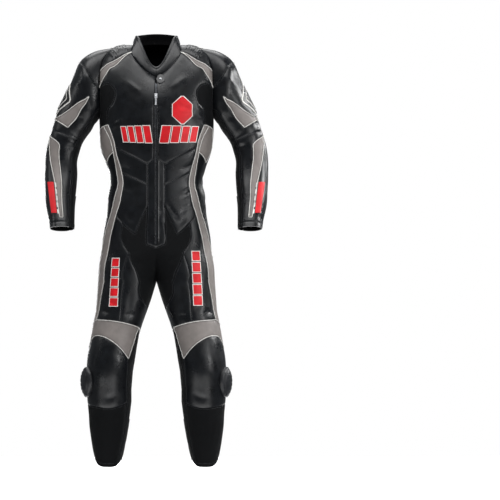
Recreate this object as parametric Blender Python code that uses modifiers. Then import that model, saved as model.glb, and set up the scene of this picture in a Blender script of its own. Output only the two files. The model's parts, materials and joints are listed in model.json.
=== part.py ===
"""One-piece leather motorcycle race suit, filled out and hollow, held up by the neck.

Frame: metres, +Z up, the front of the suit faces -Y, +X is the wearer's left.
The origin is the middle of the neck.  The suit is built from the same two
surfaces a pattern cutter works on: the body (trunk and legs) and the sleeve.
Each is a table of sections.  Seams are drawn on those surfaces, each region
between seams is one cut panel, and each panel is a closed wall of its own.
"""

import math

import bpy
import numpy as np
from mathutils import Matrix, Vector
from mathutils.bvhtree import BVHTree
from mathutils.geometry import delaunay_2d_cdt

MM = 0.001

# Cloth.
WALL = 2.0 * MM
SEAM_GAP = 0.3 * MM
SPACING = 31.0 * MM
SEAM_STEP = 27.0 * MM
CLEAR_OF_SEAM = 0.58 * SPACING
ROW_SPACING = 0.87 * SPACING
BESIDE_EDGE = 0.004
BESIDE_END = 0.35
WELD = 1e-5

# The least cosines at which two walls, or the two sides of a corner, are mitred.
WALL_COSINE = 0.6
CORNER_COSINE = 0.35
SHARP_ANGLE = math.radians(50)

# Sections of the trunk and the leg, from the neck to the hem.  Lengths in
# millimetres, wrap in degrees.  v runs down the surface; side_z, front_z and
# back_z are the heights of one section at its outer side, front and back;
# reach and inner are its outer and inner half widths; wrap is the angle round
# the section's own axis at which it meets the centre plane; front and back are
# its depths, axis_y the place of its axis and square its squareness.
BODY_COLUMNS = ("v", "side_z", "front_z", "back_z", "reach", "inner", "wrap",
                "front", "back", "axis_y", "square")
BODY_ROWS = (
    (0, 18, -87, 26, 78, 0, 90, 82, 62, 0, 2.00),
    (35, 16, -104, 10, 112, 0, 90, 96, 84, 0, 2.08),
    (70, 6, -121, -16, 147, 0, 90, 105, 101, 0, 2.15),
    (100, -12, -139, -45, 174, 0, 90, 112, 112, 0, 2.22),
    (130, -38, -159, -76, 193, 0, 90, 118, 119, 0, 2.30),
    (160, -68, -181, -108, 203, 0, 90, 122, 123, 0, 2.35),
    (200, -110, -209, -148, 206, 0, 90, 125, 126, 0, 2.35),
    (250, -165, -241, -198, 200, 0, 90, 125, 125, 0, 2.35),
    (300, -220, -277, -246, 190, 0, 90, 122, 122, 0, 2.30),
    (350, -278, -318, -296, 188, 0, 90, 118, 117, 0, 2.30),
    (400, -334, -362, -346, 181, 0, 90, 112, 110, 0, 2.25),
    (450, -390, -407, -396, 162, 0, 90, 106, 101, 0, 2.20),
    (490, -432, -443, -436, 153, 0, 90, 104, 98, 0, 2.20),
    (540, -484, -490, -486, 161, 0, 90, 104, 104, 0, 2.20),
    (600, -545, -548, -546, 165, 0, 90, 106, 114, 0, 2.20),
    (650, -596, -598, -597, 174, 0, 90, 108, 122, 0, 2.20),
    (675, -621, -622, -621, 178, 0, 93, 109, 125, 0, 2.18),
    (700, -646, -646, -646, 180, 0, 101, 109, 126, 0, 2.15),
    (730, -676, -676, -676, 183, 0, 119, 108, 125, 0, 2.12),
    (755, -701, -701, -701, 188, 0, 136, 106, 122, 0, 2.10),
    (780, -726, -726, -726, 191, 0, 153, 104, 118, 0, 2.08),
    (800, -746, -746, -746, 192, 0, 167, 102, 114, -1, 2.05),
    (819, -765, -765, -765, 193, 0, 180, 100, 110, -2, 2.05),
    (835, -781, -781, -781, 194, 5, 180, 99, 107, -3, 2.05),
    (875, -821, -821, -821, 197, 17, 180, 97, 102, -5, 2.05),
    (915, -861, -861, -861, 200, 31, 180, 94, 96, -8, 2.05),
    (955, -901, -901, -901, 208, 46, 180, 91, 89, -12, 2.05),
    (995, -941, -941, -941, 215, 58, 180, 88, 82, -17, 2.05),
    (1035, -981, -981, -981, 222, 65, 180, 86, 77, -21, 2.05),
    (1075, -1021, -1021, -1021, 228, 71, 180, 85, 75, -23, 2.05),
    (1115, -1061, -1061, -1061, 230, 78, 180, 84, 75, -22, 2.05),
    (1175, -1121, -1121, -1121, 229, 83, 180, 78, 76, -15, 2.05),
    (1215, -1161, -1161, -1161, 228, 83, 180, 74, 77, -8, 2.05),
    (1255, -1201, -1201, -1201, 224, 88, 180, 70, 76, 0, 2.05),
    (1295, -1241, -1241, -1241, 222, 94, 180, 66, 72, 6, 2.05),
    (1335, -1281, -1281, -1281, 217, 101, 180, 61, 66, 11, 2.05),
    (1375, -1321, -1321, -1321, 211, 109, 180, 57, 60, 16, 2.05),
    (1424, -1370, -1370, -1370, 203, 118, 180, 53, 54, 21, 2.05),
)

# Sections of the sleeve, from the armhole to the cuff, in millimetres and
# degrees.  Each is given by its outer and inner edge as seen from the front.
SLEEVE_COLUMNS = ("s", "outer_x", "outer_z", "inner_x", "inner_z", "axis_y",
                  "front", "back", "lean", "square")
SLEEVE_ROWS = (
    (0, 145, 5, 190, -228, 0, 62, 66, 0, 2.0),
    (34, 207, -14, 194, -232, 1, 76, 80, 0, 2.0),
    (60, 246, -40, 198, -237, 2, 79, 83, 0, 2.05),
    (92, 271, -86, 205, -246, 3, 77, 81, 0, 2.1),
    (120, 291, -126, 211, -255, 4, 73, 77, 1, 2.1),
    (151, 306, -168, 219, -268, 6, 69, 72, 2, 2.1),
    (187, 328, -213, 232, -285, 8, 65, 67, 3, 2.1),
    (225, 347, -262, 246, -307, 9, 61, 63, 5, 2.1),
    (266, 360, -315, 255, -333, 8, 58, 61, 9, 2.1),
    (307, 366, -364, 263, -366, 3, 56, 59, 15, 2.1),
    (355, 369, -410, 262, -410, -9, 55, 57, 21, 2.1),
    (410, 367, -460, 265, -460, -31, 52, 54, 25, 2.1),
    (466, 364, -510, 270, -510, -56, 47, 49, 27, 2.1),
    (520, 354, -558, 271, -558, -81, 42, 43, 27, 2.1),
    (555, 349, -590, 271, -590, -97, 39, 40, 27, 2.1),
)

# The armhole is an oval on the body surface, wider behind than in front.
ARMHOLE_V = 184.5 * MM
ARMHOLE_HALF_V = 120.5 * MM
ARMHOLE_FRONT_U = 0.15
ARMHOLE_BACK_U = 0.225
ARMHOLE_POINTS = 28
SLEEVE_EASE = 95 * MM
ARMHOLE_CLEAR = 1.06
NECK_POINTS = 15
HEM_POINTS = 12
CUFF_POINTS = 11

# Where the two legs part, down the body surface.
CROTCH_V = 819 * MM

# The neck edge is cut lower at each side of the front: how far down the plain
# form, at which u, half how far round, and the v at which the form is plain.
NECK_CUT = 34 * MM
NECK_CUT_MIDDLE = 0.22
NECK_CUT_HALF = 0.20
NECK_CUT_FADE = 150 * MM

# Armour under the leather: centre (u, v) on the body or (q, s) on the sleeve,
# half sizes in the same terms, and height in millimetres.  The form is plain
# again at ARMOUR_REACH half sizes from the centre.
ARMOUR_REACH = 1.15
BODY_ARMOUR = (
    ("knee", 0.25, 1.085, 0.235, 0.115, 11),
    ("shin", 0.25, 1.235, 0.17, 0.085, 4),
    ("hip", 0.47, 0.610, 0.16, 0.080, 3),
    ("shoulder blade", 0.82, 0.150, 0.15, 0.110, 4),
)
SLEEVE_ARMOUR = (
    ("shoulder", 0.50, 0.055, 0.24, 0.060, 9),
    ("elbow", 0.66, 0.290, 0.20, 0.085, 9),
    ("upper arm", 0.50, 0.165, 0.13, 0.042, 5),
)

# Collar, which leans in to COLLAR_TAPER of the neck opening, and its closing
# tab, given as (x, z).
COLLAR_HEIGHT = 31 * MM
COLLAR_TAPER = 0.87
COLLAR_WALL = 2.6 * MM
COLLAR_ROWS = 4
COLLAR_BEND = 1.3
COLLAR_MIDDLE_Y = -10 * MM
COLLAR_FRONT_GAP = 1.0 * MM
TAB_CENTRE = (0.015, -0.097)
TAB_HALF = (0.015, 0.017)
TAB_THICK = 2.4 * MM
TAB_CLEAR = 0.9 * MM
TAB_RINGS = 4
TAB_SIDES = 18
TAB_SQUARE = 0.08

# Knee pucks on the outer knee, centred at (u, v).
PUCK_CENTRE = (0.455, 1.150)
PUCK_HALF = (0.040, 0.050)
PUCK_HEIGHT = 23 * MM
PUCK_FALL = 0.62
PUCK_ROUND = 2.6
PUCK_RINGS = 5
PUCK_SIDES = 24

# Front zip hardware, in the frame of the slider's hinge pin, which stands
# SLIDER_STAND in front of the leather at the height SLIDER_Z.
SLIDER_Z = -153 * MM
SLIDER_REACH_UP = 12 * MM
SLIDER_REACH_DOWN = 20 * MM
SLIDER_SIZE = (10.5 * MM, 3.0 * MM, 15.0 * MM)
SLIDER_STAND = 6.4 * MM
SLIDER_CLEAR = 0.1 * MM
SLIDER_ABOVE_PIN = 1.0 * MM
SLIDER_ROUND = 0.7 * MM
LUG_WIDTH = 1.6 * MM
LUG_HEIGHT = 4.8 * MM
LUG_X = 4.2 * MM
LUG_SUNK = 0.5 * MM
LUG_PAST_PIN = 1.7 * MM
PIN_RADIUS = 0.8 * MM
PIN_LENGTH = 8.8 * MM
ROD_SIDES = 16
EYE_BORE = 1.1 * MM
EYE_RADIUS = 2.4 * MM
EYE_WIDTH = 6.0 * MM
PULL_SIZE = (6.0 * MM, 1.6 * MM, 30.0 * MM)
PULL_SUNK = 0.96 * MM

# Seams of the body.  A point is (x, z, face) in millimetres as seen square on:
# F from the front, B from behind; S is on the outer side line, with no x.
BODY_SEAMS = (
    ("placket top", "neck", "", ((8, -87, "F"), (8, -200, "F"), (8, -362, "F"))),
    ("placket corner", "", "", ((8, -362, "F"), (28, -376, "F"))),
    ("placket side", "", "", ((28, -376, "F"), (28, -443, "F"), (28, -513, "F"), (29, -640, "F"))),
    ("placket end", "", "centre", ((29, -640, "F"), (0, -653, "F"))),
    ("belly upper", "", "", ((28, -376, "F"), (75, -352, "F"), (135, -322, "F"))),
    ("belly middle", "", "", ((28, -443, "F"), (70, -425, "F"), (114, -404, "F"))),
    ("belly lower", "", "", ((28, -513, "F"), (50, -560, "F"), (70, -606, "F"))),
    ("belly hip", "", "", ((70, -606, "F"), (112, -570, "F"), (133, -545, "F"))),
    ("hip", "", "", ((112, -570, "F"), (116, -616, "F"), (103, -651, "F"), (90, -669, "F"))),
    ("crotch", "", "inseam", ((90, -669, "F"), (79, -705, "F"), (64, -737, "F"), (56, -775, "F"),
                              (50, -820, "F"), (33, -865, "F"))),
    ("thigh", "", "", ((90, -669, "F"), (105, -716, "F"), (109, -755, "F"), (113, -820, "F"),
                       (119, -897, "F"))),
    ("knee top", "", "", ((58, -916, "F"), (119, -897, "F"), (160, -892, "F"), (197, -890, "F"))),
    ("knee side", "", "", ((197, -890, "F"), (0, -905, "S"), (193, -925, "B"))),
    ("knee inner", "", "", ((58, -916, "F"), (74, -965, "F"), (91, -1018, "F"))),
    ("knee inseam", "", "inseam", ((58, -916, "F"), (54, -930, "F"))),
    ("knee low", "", "", ((91, -1018, "F"), (127, -973, "F"), (165, -948, "F"), (197, -942, "F"),
                          (213, -955, "F"), (0, -985, "S"))),
    ("knee back", "", "", ((0, -985, "S"), (205, -957, "B"), (193, -925, "B"))),
    ("calf top", "", "inseam", ((193, -925, "B"), (150, -932, "B"), (100, -932, "B"),
                                (54, -930, "B"))),
    ("leg inner", "", "", ((91, -1018, "F"), (93, -1070, "F"), (97, -1165, "F"))),
    ("shin inner", "", "hem", ((97, -1165, "F"), (106, -1260, "F"), (126, -1370, "F"))),
    ("leg outer", "", "", ((0, -985, "S"), (224, -1060, "B"), (222, -1165, "B"))),
    ("shin outer", "", "hem", ((222, -1165, "B"), (214, -1270, "B"), (197, -1370, "B"))),
    ("knee base", "", "", ((97, -1165, "F"), (150, -1182, "F"), (205, -1176, "F"),
                           (222, -1165, "B"))),
    ("band front", "", "", ((158, -248, "F"), (144, -286, "F"), (135, -322, "F"), (114, -404, "F"),
                            (110, -450, "F"), (119, -500, "F"), (133, -545, "F"), (145, -592, "F"),
                            (154, -636, "F"), (162, -679, "F"), (172, -745, "F"), (182, -815, "F"),
                            (197, -890, "F"))),
    ("band rear", "", "", ((173, -252, "F"), (154, -290, "F"), (141, -338, "F"),
                                  (130, -404, "F"), (128, -455, "F"), (143, -513, "F"),
                                  (161, -575, "F"), (175, -635, "F"), (0, -690, "S"))),
    ("band head", "", "", ((158, -248, "F"), (173, -252, "F"))),
    ("band thigh", "", "", ((146, -563, "B"), (168, -643, "B"), (177, -720, "B"), (180, -800, "B"),
                            (186, -870, "B"), (193, -925, "B"))),
    ("gusset top", "", "", ((173, -252, "F"), (186, -262, "F"))),
    ("gusset edge", "armhole", "", ((188, -236, "F"), (186, -262, "F"))),
    ("gusset outer", "", "", ((186, -262, "F"), (185, -295, "F"), (182, -328, "F"))),
    ("gusset low", "", "", ((182, -328, "F"), (163, -372, "F"))),
    ("gusset tip", "", "", ((163, -372, "F"), (141, -338, "F"))),
    ("armpit", "armhole", "", ((187, -126, "F"), (163, -112, "F"), (142, -121, "F"),
                               (132, -146, "F"), (142, -179, "F"), (160, -206, "F"),
                               (158, -248, "F"))),
    ("crescent outer", "neck", "armhole", ((80, -22, "F"), (127, -31, "F"), (161, -48, "F"),
                                           (186, -76, "F"))),
    ("crescent inner", "neck", "armhole", ((80, -22, "F"), (125, -45, "F"), (154, -64, "F"),
                                           (169, -87, "F"), (187, -112, "F"))),
    ("yoke shoulder", "neck", "", ((68, 22, "B"), (106, 6, "B"))),
    ("yoke edge", "", "", ((106, 6, "B"), (64, -20, "B"), (38, -52, "B"), (28, -94, "B"),
                           (21, -162, "B"), (16, -276, "B"))),
    ("yoke end", "", "centre", ((16, -276, "B"), (0, -279, "B"))),
    ("shoulder rear", "", "armhole", ((106, 6, "B"), (135, -12, "B"))),
    ("side back inner", "armhole", "", ((170, -222, "B"), (133, -289, "B"), (112, -348, "B"),
                                        (116, -395, "B"), (107, -462, "B"))),
    ("side back outer", "armhole", "", ((184, -236, "B"), (151, -301, "B"), (128, -352, "B"),
                                        (134, -396, "B"), (127, -462, "B"))),
    ("lumbar top", "centre", "", ((0, -462, "B"), (60, -461, "B"), (107, -462, "B"),
                                  (127, -462, "B"))),
    ("lumbar side", "", "", ((127, -462, "B"), (146, -512, "B"), (160, -563, "B"),
                             (173, -625, "B"), (0, -690, "S"))),
    ("lumbar corner", "", "", ((146, -563, "B"), (160, -563, "B"))),
    ("lumbar low", "", "centre", ((146, -563, "B"), (110, -583, "B"), (70, -597, "B"),
                                  (0, -603, "B"))),
)

# Seams of the sleeve.  Q points are (q, s in millimetres): q runs once round
# the sleeve, 0 at the underarm, 0.25 in front, 0.5 outside and 0.75 behind.
SLEEVE_SEAMS = (
    ("under front", "armhole", "cuff", ((0.12, 0, "Q"), (0.12, 100, "Q"), (0.125, 230, "Q"),
                                        (0.13, 400, "Q"), (0.14, 555, "Q"))),
    ("under rear", "armhole", "cuff", ((0.88, 0, "Q"), (0.88, 100, "Q"), (0.875, 230, "Q"),
                                       (0.87, 400, "Q"), (0.86, 555, "Q"))),
    ("cap", "armhole", "armhole", ((0.21, 0, "Q"), (0.26, 26, "Q"), (0.33, 47, "Q"),
                                   (0.41, 62, "Q"), (0.50, 68, "Q"), (0.59, 66, "Q"),
                                   (0.67, 46, "Q"), (0.74, 0, "Q"))),
    ("elbow", "", "", ((0.125, 230, "Q"), (0.25, 228, "Q"), (0.50, 226, "Q"), (0.75, 224, "Q"),
                       (0.875, 230, "Q"))),
    ("spear upper", "", "", ((221, -155, "F"), (270, -184, "F"), (316, -216, "F"),
                             (0.50, 200, "Q"))),
    ("spear lower", "", "", ((221, -155, "F"), (245, -193, "F"), (268, -231, "F"),
                             (291, -256, "F"))),
    ("spear end", "", "", ((291, -256, "F"), (0.50, 200, "Q"))),
    ("rear inner", "", "", ((208, -118, "B"), (216, -156, "B"), (250, -205, "B"),
                            (278, -240, "B"))),
    ("rear outer", "", "", ((224, -106, "B"), (256, -134, "B"), (279, -185, "B"),
                            (302, -232, "B"))),
    ("rear top", "", "", ((208, -118, "B"), (224, -106, "B"))),
    ("rear end", "", "", ((278, -240, "B"), (302, -232, "B"))),
    ("forearm inner", "", "", ((352, -282, "F"), (325, -305, "F"), (321, -340, "F"),
                               (311, -450, "F"), (305, -552, "F"))),
    ("forearm outer", "", "", ((352, -282, "F"), (352, -340, "F"), (338, -417, "F"),
                               (329, -477, "F"), (316, -552, "F"))),
    ("forearm end", "", "", ((305, -552, "F"), (316, -552, "F"))),
)

# The calf panel and the under sleeve cross the line where the flat domain is
# cut, so each has a second inside point, as (u, v) and (q, s).
CALF_INNER = (0.03, 1.250)
UNDER_REAR = (0.95, 0.150)

BLACK = (0.012, 0.013, 0.016)
MATTE = (0.007, 0.008, 0.010)
GREY = (0.205, 0.184, 0.174)
STEEL = (0.55, 0.56, 0.58)
PUCK_BLACK = (0.02, 0.02, 0.022)

# Grid and finer steps of the search for a seam point's place on a surface.
SEARCH_ACROSS = 161
SEARCH_DOWN = 301
SEARCH_STEPS = (2e-3, 5e-4, 1.2e-4, 3e-5)

# How much the flat domain stretches round the body and round the sleeve.
BODY_ROUND = 0.50
SLEEVE_ROUND = 0.38

# Panels: name, a point inside it, its finish, and whether it crosses the middle.
BODY_PANELS = (
    ("front_placket", (4, -250, "F"), "leather", True),
    ("chest", (80, -150, "F"), "leather", False),
    ("belly_upper", (80, -385, "F"), "leather", False),
    ("belly_lower", (80, -480, "F"), "leather", False),
    ("crotch_stretch", (40, -680, "F"), "stretch", True),
    ("thigh_inner", (85, -800, "F"), "leather", False),
    ("thigh_front", (140, -760, "F"), "leather", False),
    ("armpit_stretch", (165, -150, "F"), "stretch", False),
    ("shoulder_crescent", (150, -53, "F"), "grey", False),
    ("shoulder_top", (0, 13, "S"), "leather", False),
    ("side_gusset", (168, -300, "F"), "grey", False),
    ("side_band", (154, -590, "F"), "grey", False),
    ("side_panel", (0, -450, "S"), "leather", False),
    ("side_back_band", (120, -350, "B"), "grey", False),
    ("back_yoke", (10, -100, "B"), "grey", True),
    ("back_panel", (60, -300, "B"), "leather", True),
    ("lumbar_panel", (60, -530, "B"), "grey", True),
    ("seat", (100, -750, "B"), "leather", False),
    ("knee_band", (140, -930, "F"), "grey", False),
    ("knee_panel", (160, -1080, "F"), "leather", False),
    ("shin_panel", (160, -1250, "F"), "stretch", False),
    ("calf_panel", (160, -1200, "B"), "stretch", False),
)
SLEEVE_PANELS = (
    ("shoulder_cap", (0.50, 50, "Q"), "leather"),
    ("upper_sleeve", (0.50, 150, "Q"), "leather"),
    ("arm_spear", (0.44, 195, "Q"), "grey"),
    ("arm_rear_panel", (246, -165, "B"), "grey"),
    ("under_sleeve", (0.05, 150, "Q"), "stretch"),
    ("forearm_band", (325, -400, "F"), "grey"),
    ("forearm", (0.60, 400, "Q"), "leather"),
)


def section_curves(columns, rows, plain, straight):
    """A function that reads every column at any station, through smooth curves."""
    table = np.array(rows, float)
    knots = table[:, 0] * MM
    values = {}
    for index, name in enumerate(columns):
        scale = 1.0 if name in plain else MM
        values[name] = table[:, index] * scale
    slopes = {name: np.gradient(column, knots) for name, column in values.items()}

    def at(station):
        place = np.clip(np.asarray(station, float), knots[0], knots[-1])
        low = np.clip(np.searchsorted(knots, place, side="right") - 1, 0, len(knots) - 2)
        step = knots[low + 1] - knots[low]
        f = (place - knots[low]) / step
        found = {}
        for name, column in values.items():
            a = column[low]
            b = column[low + 1]
            if name in straight:
                found[name] = a + (b - a) * f
                continue
            start = slopes[name][low] * step
            end = slopes[name][low + 1] * step
            found[name] = (a * (2 * f**3 - 3 * f**2 + 1) + start * (f**3 - 2 * f**2 + f)
                           + b * (3 * f**2 - 2 * f**3) + end * (f**3 - f**2))
        return found

    return at


body_section = section_curves(BODY_COLUMNS, BODY_ROWS, ("wrap", "square"), ("wrap", "inner"))
sleeve_section = section_curves(SLEEVE_COLUMNS, SLEEVE_ROWS, ("lean", "square"), ())
BODY_LENGTH = BODY_ROWS[-1][0] * MM
SLEEVE_LENGTH = SLEEVE_ROWS[-1][0] * MM


def signed_power(value, power):
    return np.sign(value) * np.abs(value) ** power


def armour_height(u, v, armour):
    """How far the armour under the leather pushes it out."""
    height = np.zeros(np.broadcast(u, v).shape)
    for _, centre_u, centre_v, half_u, half_v, rise in armour:
        away = np.sqrt(((u - centre_u) / half_u) ** 2 + ((v - centre_v) / half_v) ** 2)
        flat = np.clip(ARMOUR_REACH - away, 0, 1)
        height = height + rise * MM * flat**2 * (3 - 2 * flat)
    return height


def neck_cut(u, v):
    """How much further down the plain form a place of the body lies."""
    away = np.clip((u - NECK_CUT_MIDDLE) / NECK_CUT_HALF, -1, 1)
    fade = np.clip(1 - v / NECK_CUT_FADE, 0, 1)
    return NECK_CUT * (0.5 + 0.5 * np.cos(np.pi * away)) * fade**2


def body_point(u, v):
    """Points of the trunk and leg: u 0 at the front middle, 0.5 outside, 1 behind."""
    return plain_point(u, v + neck_cut(u, v))


def plain_point(u, v):
    """As body_point, with the neck as wide as the form's first section."""
    row = body_section(v)
    wrap = np.radians(np.minimum(row["wrap"], 180.0))
    power = 2.0 / row["square"]
    share = np.maximum(-np.cos(wrap), 0.0) ** power
    axis = (row["reach"] * share + row["inner"]) / (1 + share)
    turn = wrap * (1 - 2 * u)
    across = np.cos(turn)
    along = np.sin(turn)
    depth = np.where(along > 0, row["front"], row["back"])
    proud = armour_height(u, v, BODY_ARMOUR)
    x = axis + (row["reach"] - axis) * signed_power(across, power)
    y = row["axis_y"] - (depth + proud) * signed_power(along, power)
    drop = np.where(along > 0, (row["front_z"] - row["side_z"]) * along**4,
                    (row["back_z"] - row["side_z"]) * along**2)
    return np.stack([x, y, row["side_z"] + drop], axis=-1)


def armhole_place(q):
    """Where the armhole runs on the body surface."""
    turn = 2 * np.pi * np.asarray(q, float)
    half = np.where(np.sin(turn) > 0, ARMHOLE_FRONT_U, ARMHOLE_BACK_U)
    return 0.5 - half * np.sin(turn), ARMHOLE_V + ARMHOLE_HALF_V * np.cos(turn)


def sleeve_ring(q, s):
    row = sleeve_section(s)
    turn = 2 * np.pi * q
    lean = np.radians(row["lean"])
    power = 2.0 / row["square"]
    out = -signed_power(np.cos(turn), power)
    fore = signed_power(np.sin(turn), power)
    proud = armour_height(q, s, SLEEVE_ARMOUR)
    half_x = (row["outer_x"] - row["inner_x"]) / 2
    half_z = (row["outer_z"] - row["inner_z"]) / 2
    length = np.sqrt(half_x**2 + half_z**2)
    grow = 1 + proud / length
    depth = np.where(fore > 0, row["front"], row["back"]) + proud
    x = (row["outer_x"] + row["inner_x"]) / 2 + half_x * out * grow
    y = row["axis_y"] - depth * fore * np.cos(lean)
    z = (row["outer_z"] + row["inner_z"]) / 2 + half_z * out * grow + depth * fore * np.sin(lean)
    return np.stack([x, y, z], axis=-1)


def sleeve_point(q, s):
    """Points of the sleeve, which leaves the body surface along the armhole."""
    q = np.asarray(q, float)
    s = np.asarray(s, float)
    start = body_point(*armhole_place(q))
    f = np.clip(s / SLEEVE_EASE, 0, 1)
    fade = (1 - f) ** 2 * (1 + 2 * f)
    away = start - sleeve_ring(q, np.zeros_like(s))
    return sleeve_ring(q, s) + away * fade[..., None]


def surface_normal(point, u, v, top_u, top_v, round_u):
    """Unit normals pointing out of the garment."""
    step = 2e-3
    u = np.asarray(u, float)
    v = np.asarray(v, float)
    low_u = u - step if round_u else np.maximum(u - step, 0)
    high_u = u + step if round_u else np.minimum(u + step, top_u)
    low_v = np.maximum(v - step, 0)
    high_v = np.minimum(v + step, top_v)
    along_u = point(high_u, v) - point(low_u, v)
    along_v = point(u, high_v) - point(u, low_v)
    normal = np.cross(along_v, along_u)
    return normal / np.maximum(np.linalg.norm(normal, axis=-1, keepdims=True), 1e-12)


def body_normal(u, v):
    """As surface_normal, square to the centre plane on it."""
    inside_u = np.clip(u, 1e-4, 1 - 1e-4)
    normal = surface_normal(body_point, inside_u, v, 1.0, BODY_LENGTH, False)
    trunk = body_section(v)["inner"] <= 1e-9
    middle = trunk & ((np.asarray(u) < 1e-6) | (np.asarray(u) > 1 - 1e-6))
    normal[..., 0] = np.where(middle, 0, normal[..., 0])
    return normal / np.linalg.norm(normal, axis=-1, keepdims=True)


def sleeve_normal(q, s):
    return surface_normal(sleeve_point, q, s, 1.0, SLEEVE_LENGTH, True)


def miter(first, second):
    """The shared wall direction where two surfaces meet, long enough for both walls."""
    total = first + second
    total = total / np.maximum(np.linalg.norm(total, axis=-1, keepdims=True), 1e-12)
    cosine = np.clip(np.sum(total * first, axis=-1, keepdims=True), WALL_COSINE, 1.0)
    return total / cosine


class Surface:
    """A surface with a flat domain, on which seams are drawn and panels are cut."""

    def __init__(self, point, length, round_scale):
        self.point = point
        self.length = length
        self.scale = round_scale
        us, vs = np.meshgrid(np.linspace(0, 1, SEARCH_ACROSS), np.linspace(0, length, SEARCH_DOWN))
        self.search = us.ravel(), vs.ravel(), point(us.ravel(), vs.ravel())

    def place(self, first, second, face):
        """The (u, v) of a point given as seen from the front, from behind or on the side."""
        if face == "Q":
            return first, second * MM
        us, vs, points = self.search
        x = first * MM
        z = second * MM
        if face == "S":
            near = np.where(np.abs(us - 0.5) < 1e-9, np.abs(points[:, 2] - z), 1.0)
        else:
            side = us <= 0.5 if face == "F" else us >= 0.5
            away = (points[:, 0] - x) ** 2 + (points[:, 2] - z) ** 2
            near = np.where(side, away, 1.0)
        best = int(np.argmin(near))
        u = us[best]
        v = vs[best]
        low, high = {"F": (0.0, 0.5), "B": (0.5, 1.0), "S": (0.5, 0.5)}[face]
        for step in SEARCH_STEPS:
            for _ in range(6):
                tries_u = np.clip(u + step * np.array([0, 1, -1, 0, 0, 1, 1, -1, -1]), low, high)
                tries_v = np.clip(v + step * np.array([0, 0, 0, 1, -1, 1, -1, 1, -1]),
                                  0, self.length)
                found = self.point(tries_u, tries_v)
                across = 0.0 if face == "S" else (found[:, 0] - x) ** 2
                choice = int(np.argmin(across + (found[:, 2] - z) ** 2))
                u = tries_u[choice]
                v = tries_v[choice]
        return float(u), float(v)

    def flat(self, u, v):
        return np.stack([np.asarray(u) * self.scale, np.asarray(v)], axis=-1)


def seam_line(points, surface):
    """A smooth run through the seam's points, about one seam step apart."""
    places = np.array(points, float)
    if len(places) == 2:
        slopes = np.stack([places[1] - places[0]] * 2)
    else:
        slopes = np.gradient(places, axis=0)
    run = [tuple(places[0])]
    for index in range(len(places) - 1):
        a, b = places[index], places[index + 1]
        gap = np.linalg.norm(surface.point(*b) - surface.point(*a))
        count = max(1, int(round(gap / SEAM_STEP)))
        for part in range(1, count + 1):
            f = part / count
            middle = (a * (2 * f**3 - 3 * f**2 + 1) + slopes[index] * (f**3 - 2 * f**2 + f)
                      + b * (3 * f**2 - 2 * f**3) + slopes[index + 1] * (f**3 - f**2))
            run.append(tuple(b if part == count else middle))
    return run


def nearest(options, place, surface):
    flat = surface.flat(*np.array(options).T)
    here = surface.flat(*place)
    return options[int(np.argmin(np.sum((flat - here) ** 2, axis=1)))]


def body_edges():
    """The fixed points of the neck edge and the armhole edge, in order."""
    neck = [(i / NECK_POINTS, 0.0) for i in range(NECK_POINTS + 1)]
    qs = np.arange(ARMHOLE_POINTS) / ARMHOLE_POINTS
    us, vs = armhole_place(qs)
    return neck, list(zip(us.tolist(), vs.tolist()))


def drawn_seams(seams, surface, snaps):
    """Each seam as a run of (u, v), its ends brought onto the edges it meets."""
    lines = []
    for _, start, end, points in seams:
        places = [surface.place(*point) for point in points]
        for index, edge in ((0, start), (-1, end)):
            if edge:
                places[index] = snaps(edge, places[index])
        lines.append(seam_line(places, surface))
    return lines


def body_snap(edge, place):
    neck, armhole = body_edges()
    u, v = place
    if edge == "neck":
        return nearest(neck, place, BODY)
    if edge == "armhole":
        return nearest(armhole, place, BODY)
    if edge == "hem":
        return (u, BODY_LENGTH)
    return (0.0, v) if u < 0.5 else (1.0, v)


def sleeve_snap(edge, place):
    q, s = place
    if edge == "armhole":
        return (round(q * ARMHOLE_POINTS) / ARMHOLE_POINTS, 0.0)
    return (q, SLEEVE_LENGTH)


def edge_runs(surface, seam_lines, top, bottom_count, shared_from):
    """The four sides of the domain, with one matching set of points on both long sides."""
    stops = {0.0, surface.length}
    for line in seam_lines:
        for u, v in (line[0], line[-1]):
            if u <= 1e-9 or u >= 1 - 1e-9:
                stops.add(v)
    stops.update(shared_from)
    ordered = sorted(stops)
    side = [ordered[0]]
    for stop in ordered[1:]:
        if stop - side[-1] < 1e-6:
            continue
        count = max(1, int(round((stop - side[-1]) / SEAM_STEP)))
        start = side[-1]
        side.extend(start + (stop - start) * k / count for k in range(1, count + 1))
    bottom = {k / bottom_count for k in range(bottom_count + 1)}
    for line in seam_lines:
        for u, v in (line[0], line[-1]):
            if v >= surface.length - 1e-9:
                clear = BESIDE_END / bottom_count
                bottom = {b for b in bottom if abs(b - u) > clear or b in (0, 1)}
                bottom.add(u)
    bottom = sorted(bottom)
    return [
        [(0.0, v) for v in side],
        [(1.0, v) for v in side],
        [(u, 0.0) for u in top],
        [(u, surface.length) for u in bottom],
    ]


def fill_points(surface, lines, keep_out):
    """Evenly spread points between the seams."""
    seam = np.concatenate([surface.flat(*np.array(line).T) for line in lines])
    found = []
    rows = int(surface.length / ROW_SPACING)
    for row in range(1, rows):
        v = surface.length * row / rows
        around = surface.point(np.linspace(0, 1, 41), np.full(41, v))
        girth = np.sum(np.linalg.norm(np.diff(around, axis=0), axis=1))
        count = max(3, int(round(girth / SPACING)))
        for index in range(count):
            u = (index + (0.5 if row % 2 else 0.0)) / count
            if u <= BESIDE_EDGE or u >= 1 - BESIDE_EDGE or keep_out(u, v):
                continue
            metric = np.array([girth / surface.scale, 1.0])
            away = (seam - surface.flat(u, v)) * metric
            if np.min(np.sum(away**2, axis=1)) > CLEAR_OF_SEAM**2:
                found.append((u, v))
    return found


def in_armhole(u, v):
    half = ARMHOLE_FRONT_U if u < 0.5 else ARMHOLE_BACK_U
    return math.hypot((u - 0.5) / half, (v - ARMHOLE_V) / ARMHOLE_HALF_V) < ARMHOLE_CLEAR


def nowhere(u, v):
    return False


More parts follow.
